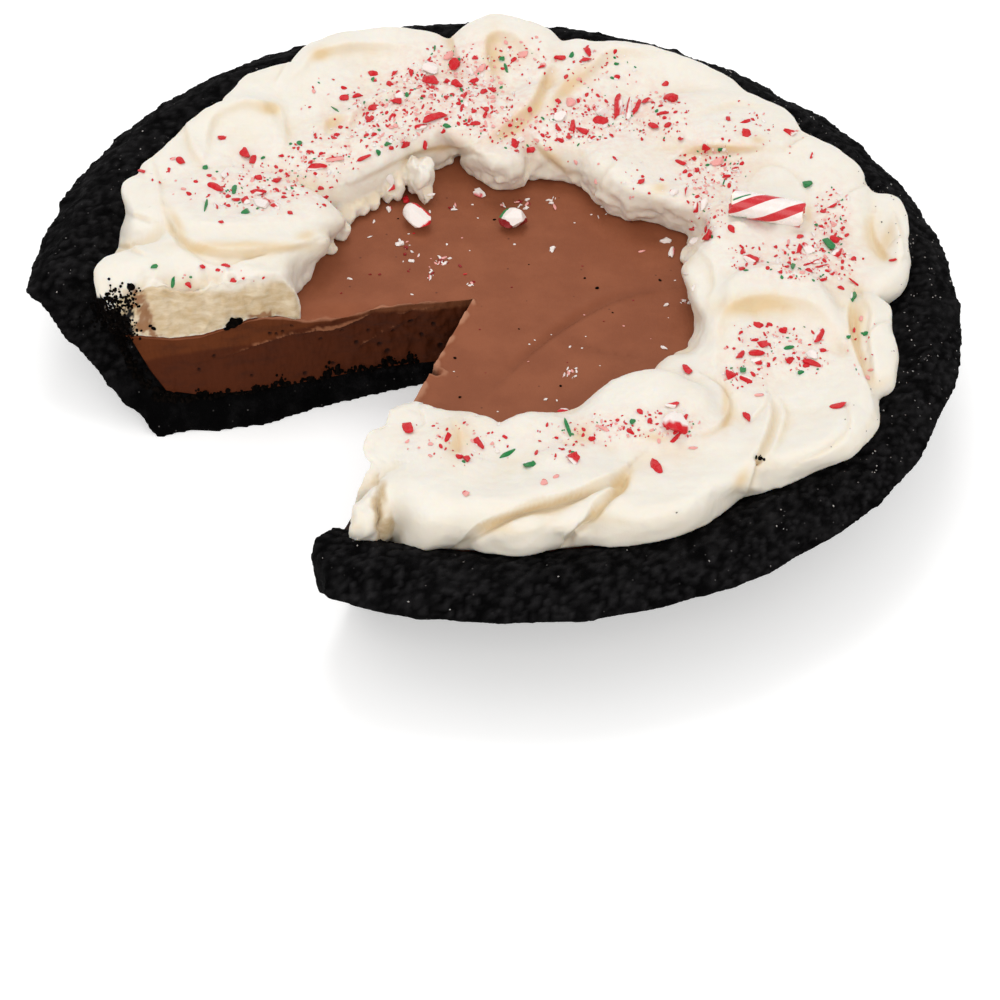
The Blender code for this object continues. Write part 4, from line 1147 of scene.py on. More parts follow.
def cutRounded(places, along, behind, above, picture):
    # the cut face's border with the top is soft and uneven, and the cream stands back from the right cut
    step = np.clip(along.astype(int), 0, 129)
    top = np.zeros(130)
    np.maximum.at(top, step[abs(behind) < 1.5], places[abs(behind) < 1.5, 2])
    below = np.clip(softened(top, 2)[step] - places[:, 2], 0.0, None)
    tall = places * (1.0, 1.0, 0.2)
    uneven = 1.0 + 0.9 * grain(tall, 7.0, 31) + 0.5 * grain(tall, 2.5, 32)
    moved = places.copy()
    back = 1.5 * uneven * np.exp(-below / 1.8) * np.exp(-abs(behind) / 2.5) * blend(2.0, 6.0, along)
    moved[:, :2] += back[:, None] * direction(pie["leftCut"] - 90.0)
    moved[:, 2] -= 0.7 * back * blend(3.0, 0.0, below)
    shoulder = 2.4 * uneven * np.exp(-(behind / 4.5) ** 2) * blend(8.0, 0.0, below) * blend(58.0, 64.0, along)
    moved[:, 2] -= shoulder * blend(-1.0, -0.3, behind)
    line = direction(pie["rightCut"])
    away = places[:, :2] - np.array(pie["point"])
    out, inside = away @ line, line[0] * away[:, 1] - line[1] * away[:, 0]
    edge = np.interp(out, cream["backAt"], cream["backBy"])
    edge = edge * (1.0 + 0.6 * grain(places, 4.0, 33)) * np.exp(-abs(inside) / 4.0) * blend(0.2, 2.0, above)
    edge *= blend(40.0, 55.0, out)
    moved[:, :2] += edge[:, None] * direction(pie["rightCut"] + 90.0)
    for _ in range(2):
        moved = endFitted(moved, picture, out, inside, above)
    return moved


def ovalShare(spots, ovals):
    # 1 in the middle of ovals drawn in the photograph's frame, fading outwards
    share = np.zeros(len(spots))
    for *sizes, turn in ovals:
        share = np.maximum(share, np.exp(-cream["ovalFade"] * ovalReach(spots, *sizes, -turn)))
    return share


def makeCream(finish, picture):
    places, faces = [], []
    start = 0
    for rings in [ringRings()] + [swirlRings(swirl) for swirl in cream["swirls"]]:
        counts = [len(ring) for ring in rings]
        faces += loftFaces(counts, start)
        places += rings
        start += sum(counts)
    body = facedOut(newPiece("whippedCream", warped(np.vstack(places)), faces))
    remeshed(body, cream["cell"], cream["softening"])
    movePlaces(body, edgesFitted(placesOf(body), picture))
    trimmed(body, bedCutter())
    trimmed(body, sliceCutter())
    withTorn(body)
    remeshed(body, cream["fineCell"], cream["fineSoftening"])
    places, normals = placesOf(body), normalsOf(body)
    radius = np.hypot(places[:, 0], places[:, 1])
    above = places[:, 2] - bedHeight(radius)
    spots, _ = picture.spots(places)
    shown = picture.shown(places, normals)
    relief, foldShade = foldRelief(spots, cream["folds"])
    relief += dishRelief(spots * (1, -1), [(x, -y, *sizes) for x, y, *sizes in cream["mounds"]])
    outward = normals + np.array([0.0, 0.0, cream["upturn"]])
    outward /= np.linalg.norm(outward, axis=1)[:, None]
    places += outward * (relief * shown * blend(0.3, 3.0, above))[:, None]
    # uneven all over, rough where the photograph shows it, and ragged where the edge lies on the filling
    along, behind = fromLeftCut(places)
    toLeft = normals @ np.append(direction(pie["leftCut"] + 90.0), 0.0)
    onLeft = blend(0.5, 0.1, abs(behind)) * blend(0.5, 0.8, toLeft)
    free = blend(0.3, 1.5, above) * (1.0 - onLeft)
    rough = 0.32 * grain(places, 7.0, 21) + 0.14 * grain(places, 2.6, 22) + 0.05 * grain(places, 1.3, 20)
    torn = 0.9 * grain(places, 3.6, 34) + 0.9 * (0.5 - pebbles(places, 3.0, 35))
    rough += ovalShare(spots, cream["rough"]) * shown * torn
    inner = blend(74.0, 66.0, radius) * blend(9.0, 3.0, above) * blend(0.7, 0.2, normals[:, 2])
    teeth = 0.8 * grain(places * np.array([1.0, 1.0, 0.4]), 4.2, 23) + 0.6 * (0.5 - pebbles(places, 3.0, 24))
    rough = rough * free + teeth * inner * blend(0.0, 0.8, above)
    dragged = 0.6 * grain(places, 5.0, 28) + 0.45 * grain(places, 2.2, 25) + 0.3 * grain(places, 1.2, 26)
    rough += onLeft * blend(0.2, 1.0, above) * (dragged - 0.45)
    soot = ovalShare(spots, cream["sooted"]) + 0.35 * grain(places, 2.0, 37) + 0.3 * grain(places, 0.9, 38)
    soot = blend(0.42, 0.5, soot) * (shown > 0.2) * (spots[:, 0] < cream["sootEdge"])
    rough += soot * (0.7 * (0.6 - pebbles(places, 1.4, 39)))
    places = places + normals * rough[:, None]
    places = cutRounded(places, along, behind, above, picture)
    places[:, 2] -= pressedDown(places) * blend(9.0, 1.0, above)
    places[:, 2] = np.minimum(places[:, 2], pie["highest"])
    movePlaces(body, places)
    print("cream", len(body.data.polygons), "faces")
    # what the finish needs: painted warm shade in hollows and folds, with a few real candy stains; painted
    # shade on the cut face and in the hollow at the right cut; brown smears, soot, and pink where candy lies
    # thick
    # painted shade in hollows, weaker on steep sides, plus painted shade in folds and a few candy stains
    flat = cream["leastFlat"] + (1.0 - cream["leastFlat"]) * blend(0.35, 0.85, normals[:, 2])
    warmShadeAndStain = (0.75 * foldShade + 0.8 * ovalShare(spots, cream["shadeAndStains"])) * shown
    setAttribute(body, "hollow", np.clip(0.5 * flat * sunken(places) + warmShadeAndStain, 0.0, 1.0))
    # painted shade on the cut face below its border, and in the hollow at the right cut
    lower = picture.spots(places)[0][:, 1] - np.interp(spots[:, 0], *zip(*cream["cutBorder"]))
    lower += 4.0 * grain(places, 4.0, 36)
    endShare = blend(0.3, 0.8, ovalShare(spots, cream["cutEnd"]) + 0.3 * grain(places, 3.0, 40)) * shown
    setAttribute(body, "cutFace", np.maximum(onLeft * blend(-4.0, 5.0, lower), endShare))
    uneven = 0.7 + grain(places, 3.0, 27) + 0.8 * grain(places, 1.2, 29)
    smear = ovalShare(spots, cream["smears"]) * uneven
    setAttribute(body, "smear", np.clip(1.4 * blend(0.15, 0.8, smear) * shown, 0.0, 0.85))
    setAttribute(body, "soot", soot)
    blush = np.zeros(len(places))
    for x, y, length, width, turn, count in candy["dust"]:
        nearness = np.exp(-cream["ovalFade"] * ovalReach(spots, x, y, length, width, -turn))
        blush += count / (length * width) * nearness
    setAttribute(body, "blush", np.clip(candy["blush"] * blush, 0.0, 0.7) * shown)
    wear(body, finish)
    shadeSmooth(body)
    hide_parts("whipped_cream")
    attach(body, "root")
    return body


def sunken(places):
    # how far each place lies below the average height of the cream round it, from 0 to 1; it sets the painted
    # shade in the hollows
    column, row = (places[:, :2] + 125.0).astype(int).T
    heights = np.zeros((250, 250))
    np.maximum.at(heights, (column, row), places[:, 2])
    share = (heights > 0.0) * 1.0
    total = 0.0
    for radius, gain, tolerance in ((3, 0.55, 0.25), (7, 0.22, 0.5)):
        soft, count = heights, share
        for axis in (0, 1) * 3:
            soft, count = (sum(np.roll(part, shift, axis) for shift in range(-radius, radius + 1))
                           for part in (soft, count))
        level = soft / np.maximum(count, 1e-6)
        total = total + gain * np.clip(level[column, row] - places[:, 2] - tolerance, 0.0, 6.0)
    return np.clip(total, 0.0, 1.0)


# Candy and crumbs
candy = {
    "red": (0.58, 0.008, 0.016), "deepRed": (0.24, 0.004, 0.006), "white": (0.84, 0.77, 0.73),
    "green": (0.012, 0.20, 0.055), "pink": (0.80, 0.36, 0.33), "cloud": (0.86, 0.62, 0.56),
    "glow": (1.0, 0.5, 0.4),
    # broken pieces on the cream, in the photograph's frame: x, y, length, width and turn of each
    "chips": {
        "red": [
            (142, 171, 6, 3, -10), (180, 161, 9, 5, -35), (246, 155, 11, 8, -40), (253, 160, 9, 6, 60),
            (259, 178, 7, 4, -15), (277, 181, 8, 4, -10), (281, 171, 4, 3, 0), (317, 167, 19, 6, 0),
            (281, 156, 5, 3, 20), (309, 152, 5, 3, 10), (236, 200, 7, 3, 10), (246, 202, 8, 6, 30),
            (258, 193, 16, 4, -4), (216, 206, 6, 3, -60), (221, 222, 5, 3, -30), (189, 194, 5, 3, 0),
            (290, 213, 5, 3, 0), (321, 188, 6, 4, 0), (331, 188, 4, 3, 0), (325, 197, 7, 4, 5),
            (188, 285, 6, 6, 10), (202, 267, 5, 5, 0), (217, 270, 4, 3, 0), (226, 266, 6, 3, -25),
            (234, 281, 5, 4, 60), (222, 138, 8, 4, 0), (344, 98, 9, 5, 0), (344, 88, 6, 3, 5),
            (357, 96, 9, 4, 20), (373, 74, 9, 4, 5), (390, 84, 7, 4, 0), (395, 73, 5, 4, 0),
            (411, 73, 7, 5, 80), (429, 81, 18, 5, -12), (447, 82, 7, 4, 0), (455, 66, 11, 9, 30),
            (457, 85, 9, 6, -40), (463, 97, 5, 4, 0), (462, 108, 9, 4, 85), (446, 98, 5, 4, 0),
            (434, 118, 24, 6, 14), (421, 127, 12, 5, 12), (443, 131, 5, 4, 30), (425, 145, 8, 6, 60),
            (405, 145, 9, 5, 30), (364, 158, 14, 5, 15), (374, 108, 7, 5, 0), (368, 119, 7, 4, -60),
            (392, 118, 8, 5, 60), (396, 103, 12, 5, 10), (475, 123, 10, 5, 10), (485, 115, 6, 4, 80),
            (337, 135, 5, 4, 0), (391, 137, 5, 3, 0), (374, 135, 5, 3, 0), (391, 189, 10, 5, 60),
            (492, 90, 6, 4, 0), (483, 92, 6, 4, 30), (475, 80, 7, 4, 0), (560, 59, 11, 4, 5),
            (588, 52, 10, 5, -50), (586, 60, 11, 4, 0), (617, 78, 6, 4, 0), (618, 107, 24, 8, 84),
            (558, 102, 5, 4, 0), (600, 122, 13, 7, -20), (573, 126, 10, 5, 80), (582, 131, 13, 5, -15),
            (558, 128, 8, 5, -45), (560, 140, 8, 4, -20), (593, 138, 7, 3, 15), (637, 108, 15, 4, 70),
            (646, 101, 9, 4, 40), (663, 113, 11, 4, 15), (665, 84, 7, 4, 0), (671, 99, 9, 8, 30),
            (653, 127, 11, 5, -20), (668, 125, 7, 5, 10), (681, 139, 7, 5, 0), (531, 150, 8, 6, 20),
            (514, 144, 9, 5, -30), (642, 182, 8, 4, 25), (697, 170, 4, 4, 0), (681, 163, 8, 5, -35),
            (706, 147, 8, 6, 0), (728, 119, 4, 4, 0), (745, 122, 11, 2.5, 5), (746, 135, 8, 7, 20),
            (790, 133, 10, 6, -5), (812, 156, 6, 3, 60), (735, 169, 7, 4, 0), (727, 176, 7, 4, 15),
            (686, 191, 9, 3, 85), (696, 207, 10, 5, 80), (732, 229, 9, 6, -50), (709, 237, 8, 6, 20),
            (751, 260, 12, 7, -30), (780, 272, 5, 4, 0), (800, 237, 7, 3, 10), (799, 249, 10, 5, 70),
            (808, 264, 10, 3, 15), (815, 262, 8, 4, 20), (822, 266, 13, 2.2, 12), (809, 271, 6, 4, 0),
            (838, 253, 11, 7, 30), (834, 240, 9, 4, -30), (853, 259, 6, 3, 10), (823, 280, 7, 3, 15),
            (841, 288, 7, 3, -30), (856, 284, 17, 2.2, -40), (833, 206, 11, 4, 30), (821, 227, 5, 4, 0),
            (893, 260, 7, 3, 0), (758, 325, 8, 6, -40), (755, 340, 7, 4, 20), (763, 345, 12, 6, -20),
            (783, 331, 8, 5, 0), (819, 336, 16, 7, 62), (756, 353, 15, 6, 5), (740, 355, 9, 7, 60),
            (790, 360, 9, 8, 30), (812, 363, 18, 5, -15), (823, 350, 6, 4, 0), (731, 375, 10, 9, 0),
            (746, 380, 13, 5, -15), (687, 370, 10, 7, -60), (838, 406, 16, 6, 2), (747, 417, 10, 6, -65),
            (672, 406, 14, 5, 2), (640, 412, 7, 4, -30), (650, 421, 5, 5, 0), (630, 432, 8, 4, -45),
            (685, 418, 8, 4, 50), (676, 438, 13, 5, 35), (656, 467, 16, 8, -50), (592, 439, 7, 5, 0),
            (573, 459, 12, 8, -15), (563, 411, 11, 4, 0), (408, 428, 13, 9, -45), (480, 444, 13, 7, -50),
            (467, 460, 7, 5, 0), (459, 457, 7, 4, -20), (505, 437, 5, 4, 0), (447, 438, 9, 5, 60),
            (216, 188, 15, 6, -35),
        ],
        "green": [
            (205, 168, 5, 5, 0), (234, 190, 8, 5, 80), (246, 212, 10, 5, 20), (206, 206, 12, 3, 82),
            (154, 267, 7, 4, 30), (173, 282, 11, 4, 82), (447, 126, 8, 4, 0), (378, 153, 6, 5, 80),
            (387, 144, 6, 4, 20), (373, 80, 4, 4, 0), (502, 60, 5, 5, 0), (506, 68, 9, 3, -70),
            (572, 55, 6, 4, 60), (808, 185, 9, 5, 10), (793, 267, 7, 5, 90), (828, 245, 15, 6, -35),
            (853, 297, 8, 6, 75), (789, 348, 10, 3, 8), (801, 373, 6, 4, 0), (743, 371, 6, 5, 0),
            (866, 334, 6, 4, 0), (849, 337, 4, 4, 0), (633, 422, 6, 5, 20), (568, 430, 22, 4, -75),
            (507, 454, 17, 5, 38), (529, 466, 13, 5, 10), (263, 158, 4, 3, 0), (816, 225, 4, 3, 0),
            (724, 182, 7, 2, 80), (335, 109, 12, 2.5, -42),
        ],
        "pink": [
            (335, 160, 17, 4, 10), (173, 159, 5, 3, 20), (523, 55, 9, 6, 0), (482, 68, 9, 6, 50),
            (571, 103, 9, 8, 0), (604, 429, 9, 5, -40), (466, 494, 7, 5, 0), (544, 483, 7, 4, 0),
            (556, 477, 6, 3, 0), (717, 163, 12, 6, 20), (449, 56, 12, 7, 40), (759, 395, 9, 3, 0),
            (693, 448, 9, 3, 0), (871, 370, 6, 3, 0), (543, 66, 6, 4, 0),
        ],
        "white": [
            (262, 203, 13, 8, -30), (430, 70, 15, 11, 0), (813, 355, 12, 8, -20), (675, 424, 26, 20, 0),
            (808, 249, 11, 10, 0), (629, 108, 20, 5, 84), (225, 174, 10, 6, 60), (390, 180, 12, 7, -70),
            (703, 205, 12, 6, 70), (602, 112, 12, 7, 0), (520, 140, 8, 5, 0), (756, 362, 10, 6, 0),
            (693, 244, 12, 6, 20), (400, 96, 8, 5, 0), (560, 118, 12, 7, 0), (470, 72, 8, 6, 0),
            (276, 207, 8, 5, -40),
        ],
    },
    # pieces on the filling: x, y, length, width, turn, colour
    "onFilling": [
        (14.0, 20.7, 2.9, 2.4, 40, "white"), (-5.6, 43.0, 5.0, 3.5, 140, "white"),
        (-12.3, 35.9, 2.4, 1.3, 10, "white"), (-18.7, 34.4, 1.4, 1.0, 80, "white"),
        (0.7, 38.5, 2.6, 0.9, 145, "white"), (4.3, 40.2, 2.2, 1.1, 30, "pink"),
        (6.6, 37.6, 2.0, 1.4, 40, "white"), (7.1, 41.7, 2.0, 1.4, 30, "white"),
        (-26.1, 20.4, 3.4, 2.4, 20, "white"), (-24.2, 19.0, 2.0, 1.3, 130, "deepRed"),
        (-13.7, 21.1, 1.2, 0.8, 90, "white"), (4.1, 22.3, 1.0, 0.8, 0, "white"),
        (-7.5, 38.5, 0.9, 0.7, 0, "white"), (45.0, 29.8, 3.6, 2.8, 60, "white"),
        (44.0, 26.4, 4.2, 2.6, 5, "white"), (45.4, 21.6, 5.4, 2.2, 75, "white"),
        (37.6, 21.6, 2.6, 0.9, 20, "pink"), (24.9, 38.2, 2.0, 1.2, 50, "pink"),
        (34.5, 33.7, 1.6, 0.8, 80, "white"), (43.7, -0.2, 2.0, 1.6, 60, "white"),
        (48.1, -0.8, 3.6, 1.0, 150, "white"), (50.0, -6.5, 2.6, 1.4, 80, "white"),
        (43.0, -17.3, 3.0, 1.2, 150, "white"), (19.1, -18.1, 1.2, 0.7, 40, "white"),
        (14.4, 39.0, 3.6, 1.2, 110, "pink"), (-38.2, 5.3, 2.2, 1.1, 165, "white"),
        (-44.2, 5.7, 1.3, 0.9, 0, "white"), (-7.1, 4.5, 1.4, 0.9, 10, "white"),
        (-21.9, -0.1, 1.3, 0.7, 0, "white"), (-33.1, 7.3, 1.2, 0.9, 20, "deepRed"),
        (-30.6, 7.5, 1.3, 1.0, 60, "deepRed"), (-24.5, 16.2, 1.8, 1.3, 90, "deepRed"),
        (-9.9, 12.2, 1.6, 1.0, 120, "deepRed"), (-8.5, 9.0, 1.4, 1.0, 30, "red"),
        (13.3, -38.9, 1.6, 1.1, 20, "white"), (16.1, -39.1, 1.1, 0.7, 90, "white"),
        (-33.3, 29.5, 2.2, 1.2, 70, "white"), (-34.0, 23.0, 2.2, 0.8, 35, "white"),
        (-22.5, 25.1, 1.2, 0.8, 30, "red"), (-17.6, 7.0, 3.2, 1.3, 85, "white"),
        (-13.9, 13.1, 2.4, 1.3, 60, "white"), (-15.3, 15.5, 2.0, 1.2, 120, "white"),
        (-12.7, 15.3, 1.8, 1.1, 10, "white"), (-25.4, 39.0, 4.4, 2.4, 100, "red"),
        (-29.6, 34.6, 3.4, 2.2, 110, "white"), (-18.6, 37.4, 3.0, 1.4, 10, "white"),
    ],
    # clusters of finer bits there, in the photograph's frame: middle, half length, half width, turn, number
    "specks": [
        (441, 261, 11, 5, -10, 15), (431, 275, 4, 9, 0, 8), (471, 283, 7, 2, 0, 5), (523, 202, 9, 7, 0, 9),
        (552, 200, 5, 7, 0, 5), (571, 374, 10, 7, 0, 16), (600, 212, 12, 5, 0, 4), (412, 262, 12, 14, 0, 8),
        (552, 250, 2, 2, 0, 2), (506, 206, 5, 2, 0, 3), (683, 303, 8, 4, 0, 7), (455, 208, 5, 3, 0, 3),
        (405, 240, 8, 10, 0, 6),
    ],
    # crumbs of the crust on the filling: x, y, size
    "crumbsOnFilling": [
        (22.7, 9.6, 0.9), (25.9, 5.7, 1.3), (42.3, 10.1, 1.2), (-8.1, -39.3, 1.0), (-9.9, -24.5, 1.1),
        (-1.5, 32.5, 1.2), (16.9, -46.3, 1.0), (-27.0, 31.0, 0.8), (30.0, -4.0, 0.8), (6.0, -12.0, 0.7),
        (17.0, -33.5, 1.1), (8.0, 14.0, 0.6),
    ],
    # fine broken candy, in the photograph's frame: middle, half length, half width, turn, number of specks
    "dust": [
        (255, 188, 60, 26, 0, 260), (330, 150, 45, 30, 20, 200), (400, 110, 52, 38, 20, 420),
        (452, 74, 46, 30, 10, 360), (482, 108, 36, 30, 0, 240), (520, 130, 40, 24, 0, 130),
        (520, 60, 40, 24, 0, 90), (590, 118, 48, 26, 0, 320), (600, 70, 44, 22, 0, 90),
        (655, 115, 36, 28, 0, 170), (715, 166, 36, 26, 0, 240), (760, 130, 50, 24, -20, 60),
        (706, 215, 22, 28, 0, 110), (832, 222, 20, 34, 0, 170), (815, 262, 48, 24, 0, 260),
        (750, 258, 26, 16, 0, 60), (765, 345, 44, 24, 0, 130), (805, 350, 32, 26, 0, 90),
        (745, 375, 26, 16, 0, 60), (665, 425, 46, 18, 0, 140), (600, 430, 30, 16, 0, 70),
        (560, 440, 30, 22, 0, 60), (470, 440, 46, 26, 0, 90), (860, 350, 16, 44, 0, 30),
        (640, 180, 50, 24, 0, 36), (220, 275, 60, 10, 0, 24), (180, 180, 40, 20, 0, 20),
        (420, 440, 30, 20, 0, 16), (330, 90, 60, 26, 0, 30), (560, 150, 60, 14, 0, 30),
        (300, 185, 50, 30, 0, 60),
    ],
    "blush": 2.6, "stripeEdge": (0.35, 0.75),
    "chipSeed": 3, "chipGain": 1.1, "chipSides": 8, "chipFlatness": (0.24, 0.8), "chipThickness": (0.45, 0.7),
    # sizes in pixels of the photograph's frame, the share of larger ones, and how often each colour comes
    "dustSeed": 5, "dustShare": 0.62, "dustSize": (0.4, 1.0), "middling": 0.2, "middlingSize": (0.9, 1.7),
    "dustGain": 3.8, "dustKinds": ((0.45, "red"), (0.78, "pink"), (0.93, "white"), (1.0, "green")),
    "bitSeed": 9, "bitSizes": (2.0, 5.5), "looseBits": 34, "looseSizes": (0.3, 0.7),
    # the two large pieces on the filling: x, y, two half lengths, height and turn, then their coloured
    # corners: the way each faces, how far out it begins, and its colour
    "lumpSides": 13, "lumpFlatness": (0.66, 0.92),
    "leafLump": (-22.0, 29.2, 4.9, 3.2, 4.6, 122), "blockLump": (3.4, 30.1, 3.9, 3.3, 4.6, 20),
    "leafCorners": (((0.3, -0.85, 0.45), 0.74, "red"), ((-0.95, -0.1, -0.2), 0.78, "red")),
    "blockCorners": (
        ((-0.7, 0.7, 0.2), 0.72, "green"), ((-0.8, -0.5, -0.2), 0.66, "deepRed"),
        ((0.7, -0.7, -0.4), 0.70, "deepRed"),
    ),
}


class Heap:
    # many small pieces gathered into one mesh, each with its own colours
    def __init__(self, ground):
        self.ground = ground
        self.places, self.faces, self.tints = [], [], []

    def add(self, shape, size, x, y, turn, tint, sunk):
        # settles a shape on the ground below a high point
        spot = self.ground.below(x, y)
        if not spot:
            return
        place, normal = spot
        self.attach(shape, size, place, normal, Vector((*direction(turn), 0.0)), tint, sunk)

    def drop(self, shape, x, y, length, width, turn, tint, flatness, sunk):
        # settles a shape where a spot of the photograph's frame shows it, with its outline as it looks there
        spot = self.ground.behind(x, y)
        if not spot:
            return
        place, normal = spot
        picture = self.ground.picture
        right, up, _ = picture.axes.T
        sight = Vector(picture.ahead(x, y))
        scale = picture.focus / (place - Vector(picture.eye)).length
        facing = min(sight.dot(normal), -0.25)
        c, s = direction(turn)
        ahead = Vector(c * right + s * up)
        ahead -= sight * (ahead.dot(normal) / facing)
        aside = Vector(c * up - s * right)
        aside -= sight * (aside.dot(normal) / facing)
        aside -= ahead * (aside.dot(ahead) / ahead.length_squared)
        size = (length / scale * min(ahead.length, 2.2), width / scale * min(aside.length, 2.2))
        self.attach(shape, (*size, flatness * min(size)), place, normal, ahead, tint, sunk)

    def attach(self, shape, size, place, normal, ahead, tint, sunk):
        # lays a shape on a surface, sunk into it by a share of its height
        shapePlaces, shapeFaces = shape
        ahead = (ahead - normal * ahead.dot(normal)).normalized()
        aside = normal.cross(ahead)
        frameOf = np.array([ahead, aside, normal])
        local = shapePlaces * np.array(size) * 0.5
        moved = local @ frameOf + np.array(place) + np.array(normal) * size[2] * (0.5 - sunk)
        start = sum(len(part) for part in self.places)
        self.places.append(moved)
        self.faces += [[start + corner for corner in face] for face in shapeFaces]
        self.tints.append(tint(shapePlaces) if callable(tint) else np.tile(tint, (len(moved), 1)))

    def piece(self, name, finish, slot, node=None):
        made = newPiece(name, np.vstack(self.places), self.faces, finish)
        setTints(made, np.vstack(self.tints))
        if node:
            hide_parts(node)
        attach(made, "root")
        print(name, len(self.places), "pieces,", len(self.faces), "faces")


class Ground:
    # the surfaces that the small pieces lie on
    def __init__(self, picture, *bodies):
        self.picture = picture
        graph = bpy.context.evaluated_depsgraph_get()
        graph.update()
        self.trees = [BVHTree.FromObject(body, graph) for body in bodies]

    def along(self, start, ahead):
        # the first place on a surface from a start in a direction, and the surface's direction there
        hits = [tree.ray_cast(Vector(start) * mm, Vector(ahead)) for tree in self.trees]
        hits = [hit for hit in hits if hit[0] is not None]
        if not hits:
            return None
        nearest = min(hits, key=lambda hit: hit[3])
        return nearest[0] / mm, nearest[1]

    def behind(self, x, y):
        return self.along(self.picture.eye, self.picture.ahead(x, y))

    def below(self, x, y):
        return self.along((x, y, 90.0), (0.0, 0.0, -1.0))


def ballShape(detail):
    bm = bmesh.new()
    bmesh.ops.create_icosphere(bm, subdivisions=detail, radius=1.0)
    places = np.array([vert.co[:] for vert in bm.verts])
    faces = [[vert.index for vert in face.verts] for face in bm.faces]
    bm.free()
    return places, faces


def brokenShape(draw, ball, sides, flatness=(0.32, 0.85)):
    # a ball with flat broken sides: each is a plane that the ball is cut back to
    places, faces = ball
    reach = np.ones(len(places))
    for _ in range(sides):
        slant = Vector((draw.gauss(0, 1), draw.gauss(0, 1), draw.gauss(0, 1))).normalized()
        facing = places @ np.array(slant)
        cutBack = draw.uniform(*flatness) / np.maximum(facing, 1e-3)
        reach = np.where(facing > 0.0, np.minimum(reach, cutBack), reach)
    cut = places * reach[:, None]
    low, high = cut.min(0), cut.max(0)
    return (2.0 * cut - low - high) / (high - low), faces


def candyFinish(name):
    made = Finish(name)
    tint = made.start.node("ShaderNodeAttribute", {"attribute_name": "tint"}, out=0)
    cloud = made.noise(1.6, 3.0, 0.6).above(0.3, 0.8)
    made.set(colour=(cloud * 0.06).mix(tint, candy["cloud"]), roughness=0.2 + 0.2 * cloud, specular=0.16,
             glow=0.08, glowColours=candy["glow"], glowDepth=0.6 * mm)
    made.bump(made.noise(0.7, 3.0, 0.6), 0.12)
    return made


def tintOf(kind, draw):
    # red, white, green or pink; a few of the reds and whites have a stripe of the other
    base = np.array(candy[kind])
    other = candy["white"] if kind in ("red", "green") else candy["red"]
    if draw.random() < (0.5 if kind in ("red", "white") else 0.2):
        slant = np.array((draw.uniform(-0.5, 0.5), 1.0 if draw.random() < 0.6 else -0.8, 0.3))
        edge = draw.uniform(*candy["stripeEdge"])
        return lambda places: np.where((places @ slant > edge)[:, None], other, base)
    return base


def inScatter(draw, x, y, length, width, turn):
    c, s = direction(turn)
    angle, reach = draw.uniform(0.0, 2.0 * math.pi), math.sqrt(draw.random()) * draw.uniform(0.75, 1.1)
    along, across = length * reach * math.cos(angle), width * reach * math.sin(angle)
    return x + c * along + s * across, y - s * along + c * across


def makeChips(ground):
    draw = random.Random(candy["chipSeed"])
    ball = ballShape(3)
    heap = Heap(ground)
    gain = candy["chipGain"]
    for kind, pieces in candy["chips"].items():
        for x, y, length, width, turn in pieces:
            shape = brokenShape(draw, ball, candy["chipSides"], candy["chipFlatness"])
            tint = tintOf(kind, draw)
            thickness = draw.uniform(*candy["chipThickness"])
            heap.drop(shape, x, y, gain * length, gain * width, turn, tint, thickness, 0.3)
    heap.piece("candyChips", candyFinish("candyChip"), "candy_red", "whipped_cream")


def makeDust(ground):
    draw = random.Random(candy["dustSeed"])
    small, larger = ballShape(1), ballShape(2)
    heap = Heap(ground)
    for x, y, length, width, turn, count in candy["dust"]:
        for _ in range(int(count * candy["dustShare"])):
            spotX, spotY = inScatter(draw, x, y, length, width, turn)
            chance = draw.random()
            kind = next(kind for below, kind in candy["dustKinds"] if chance < below)
            middling = draw.random() < candy["middling"]
            size = draw.uniform(*candy["middlingSize" if middling else "dustSize"]) * draw.uniform(0.7, 1.0)
            size *= candy["dustGain"]
            wide = size * draw.uniform(0.45, 0.85)
            turned = draw.uniform(0.0, 180.0)
            spot = ground.behind(spotX, spotY)
            if not spot or spot[0].z < pie["fillingTop"] + 4.0:
                continue
            shape = brokenShape(draw, larger if middling else small, 5)
            heap.drop(shape, spotX, spotY, size, wide, turned, np.array(candy[kind]), 0.5, 0.35)
    heap.piece("candyDust", candyFinish("candySpeck"), "candy_red", "whipped_cream")


def makeFillingCandy(ground):
    draw = random.Random(candy["bitSeed"])
    ball = ballShape(2)
    heap = Heap(ground)
    for x, y, length, width, turn, kind in candy["onFilling"]:
        shape = jagged(draw, brokenShape(draw, ball, 6, (0.25, 0.75)))
        tint = tintOf(kind, draw) if length > 2.5 else np.array(candy[kind])
        heap.add(shape, (0.85 * length, 0.8 * width, width * 0.5), x, y, turn, tint, 0.25)
    for x, y, length, width, turn, count in candy["specks"]:
        for _ in range(count):
            spotX, spotY = inScatter(draw, x, y, length, width, turn)
            size = draw.uniform(*candy["bitSizes"])
            kind = draw.choice(("white", "white", "white", "pink", "deepRed"))
            shape = jagged(draw, brokenShape(draw, ball, 5, (0.25, 0.8)))
            wide = size * draw.uniform(0.3, 0.6)
            turned = draw.uniform(0.0, 180.0)
            heap.drop(shape, spotX, spotY, size, wide, turned, np.array(candy[kind]), 0.5, 0.2)
    for _ in range(candy["looseBits"]):
        x, y = draw.uniform(-45, 48), draw.uniform(-50, 42)
        if not onFilling(x, y, ground):
            continue
        size = draw.uniform(*candy["looseSizes"])
        kind = draw.choice(("white", "white", "pink", "deepRed"))
        shape = brokenShape(draw, ball, 5)
        heap.add(shape, (size, size * 0.7, size * 0.4), x, y, 0.0, np.array(candy[kind]), 0.2)
    heap.piece("candyOnFilling", candyFinish("candyBit"), "candy_white", "filling")


def jagged(draw, shape):
    # each corner drawn in or out a little
    places, faces = shape
    return places * np.array([draw.uniform(0.72, 1.05) for _ in places])[:, None], faces


def onFilling(x, y, ground):
    spot = ground.below(x, y)
    return bool(spot) and abs(spot[0].z - pie["fillingTop"]) < 1.0


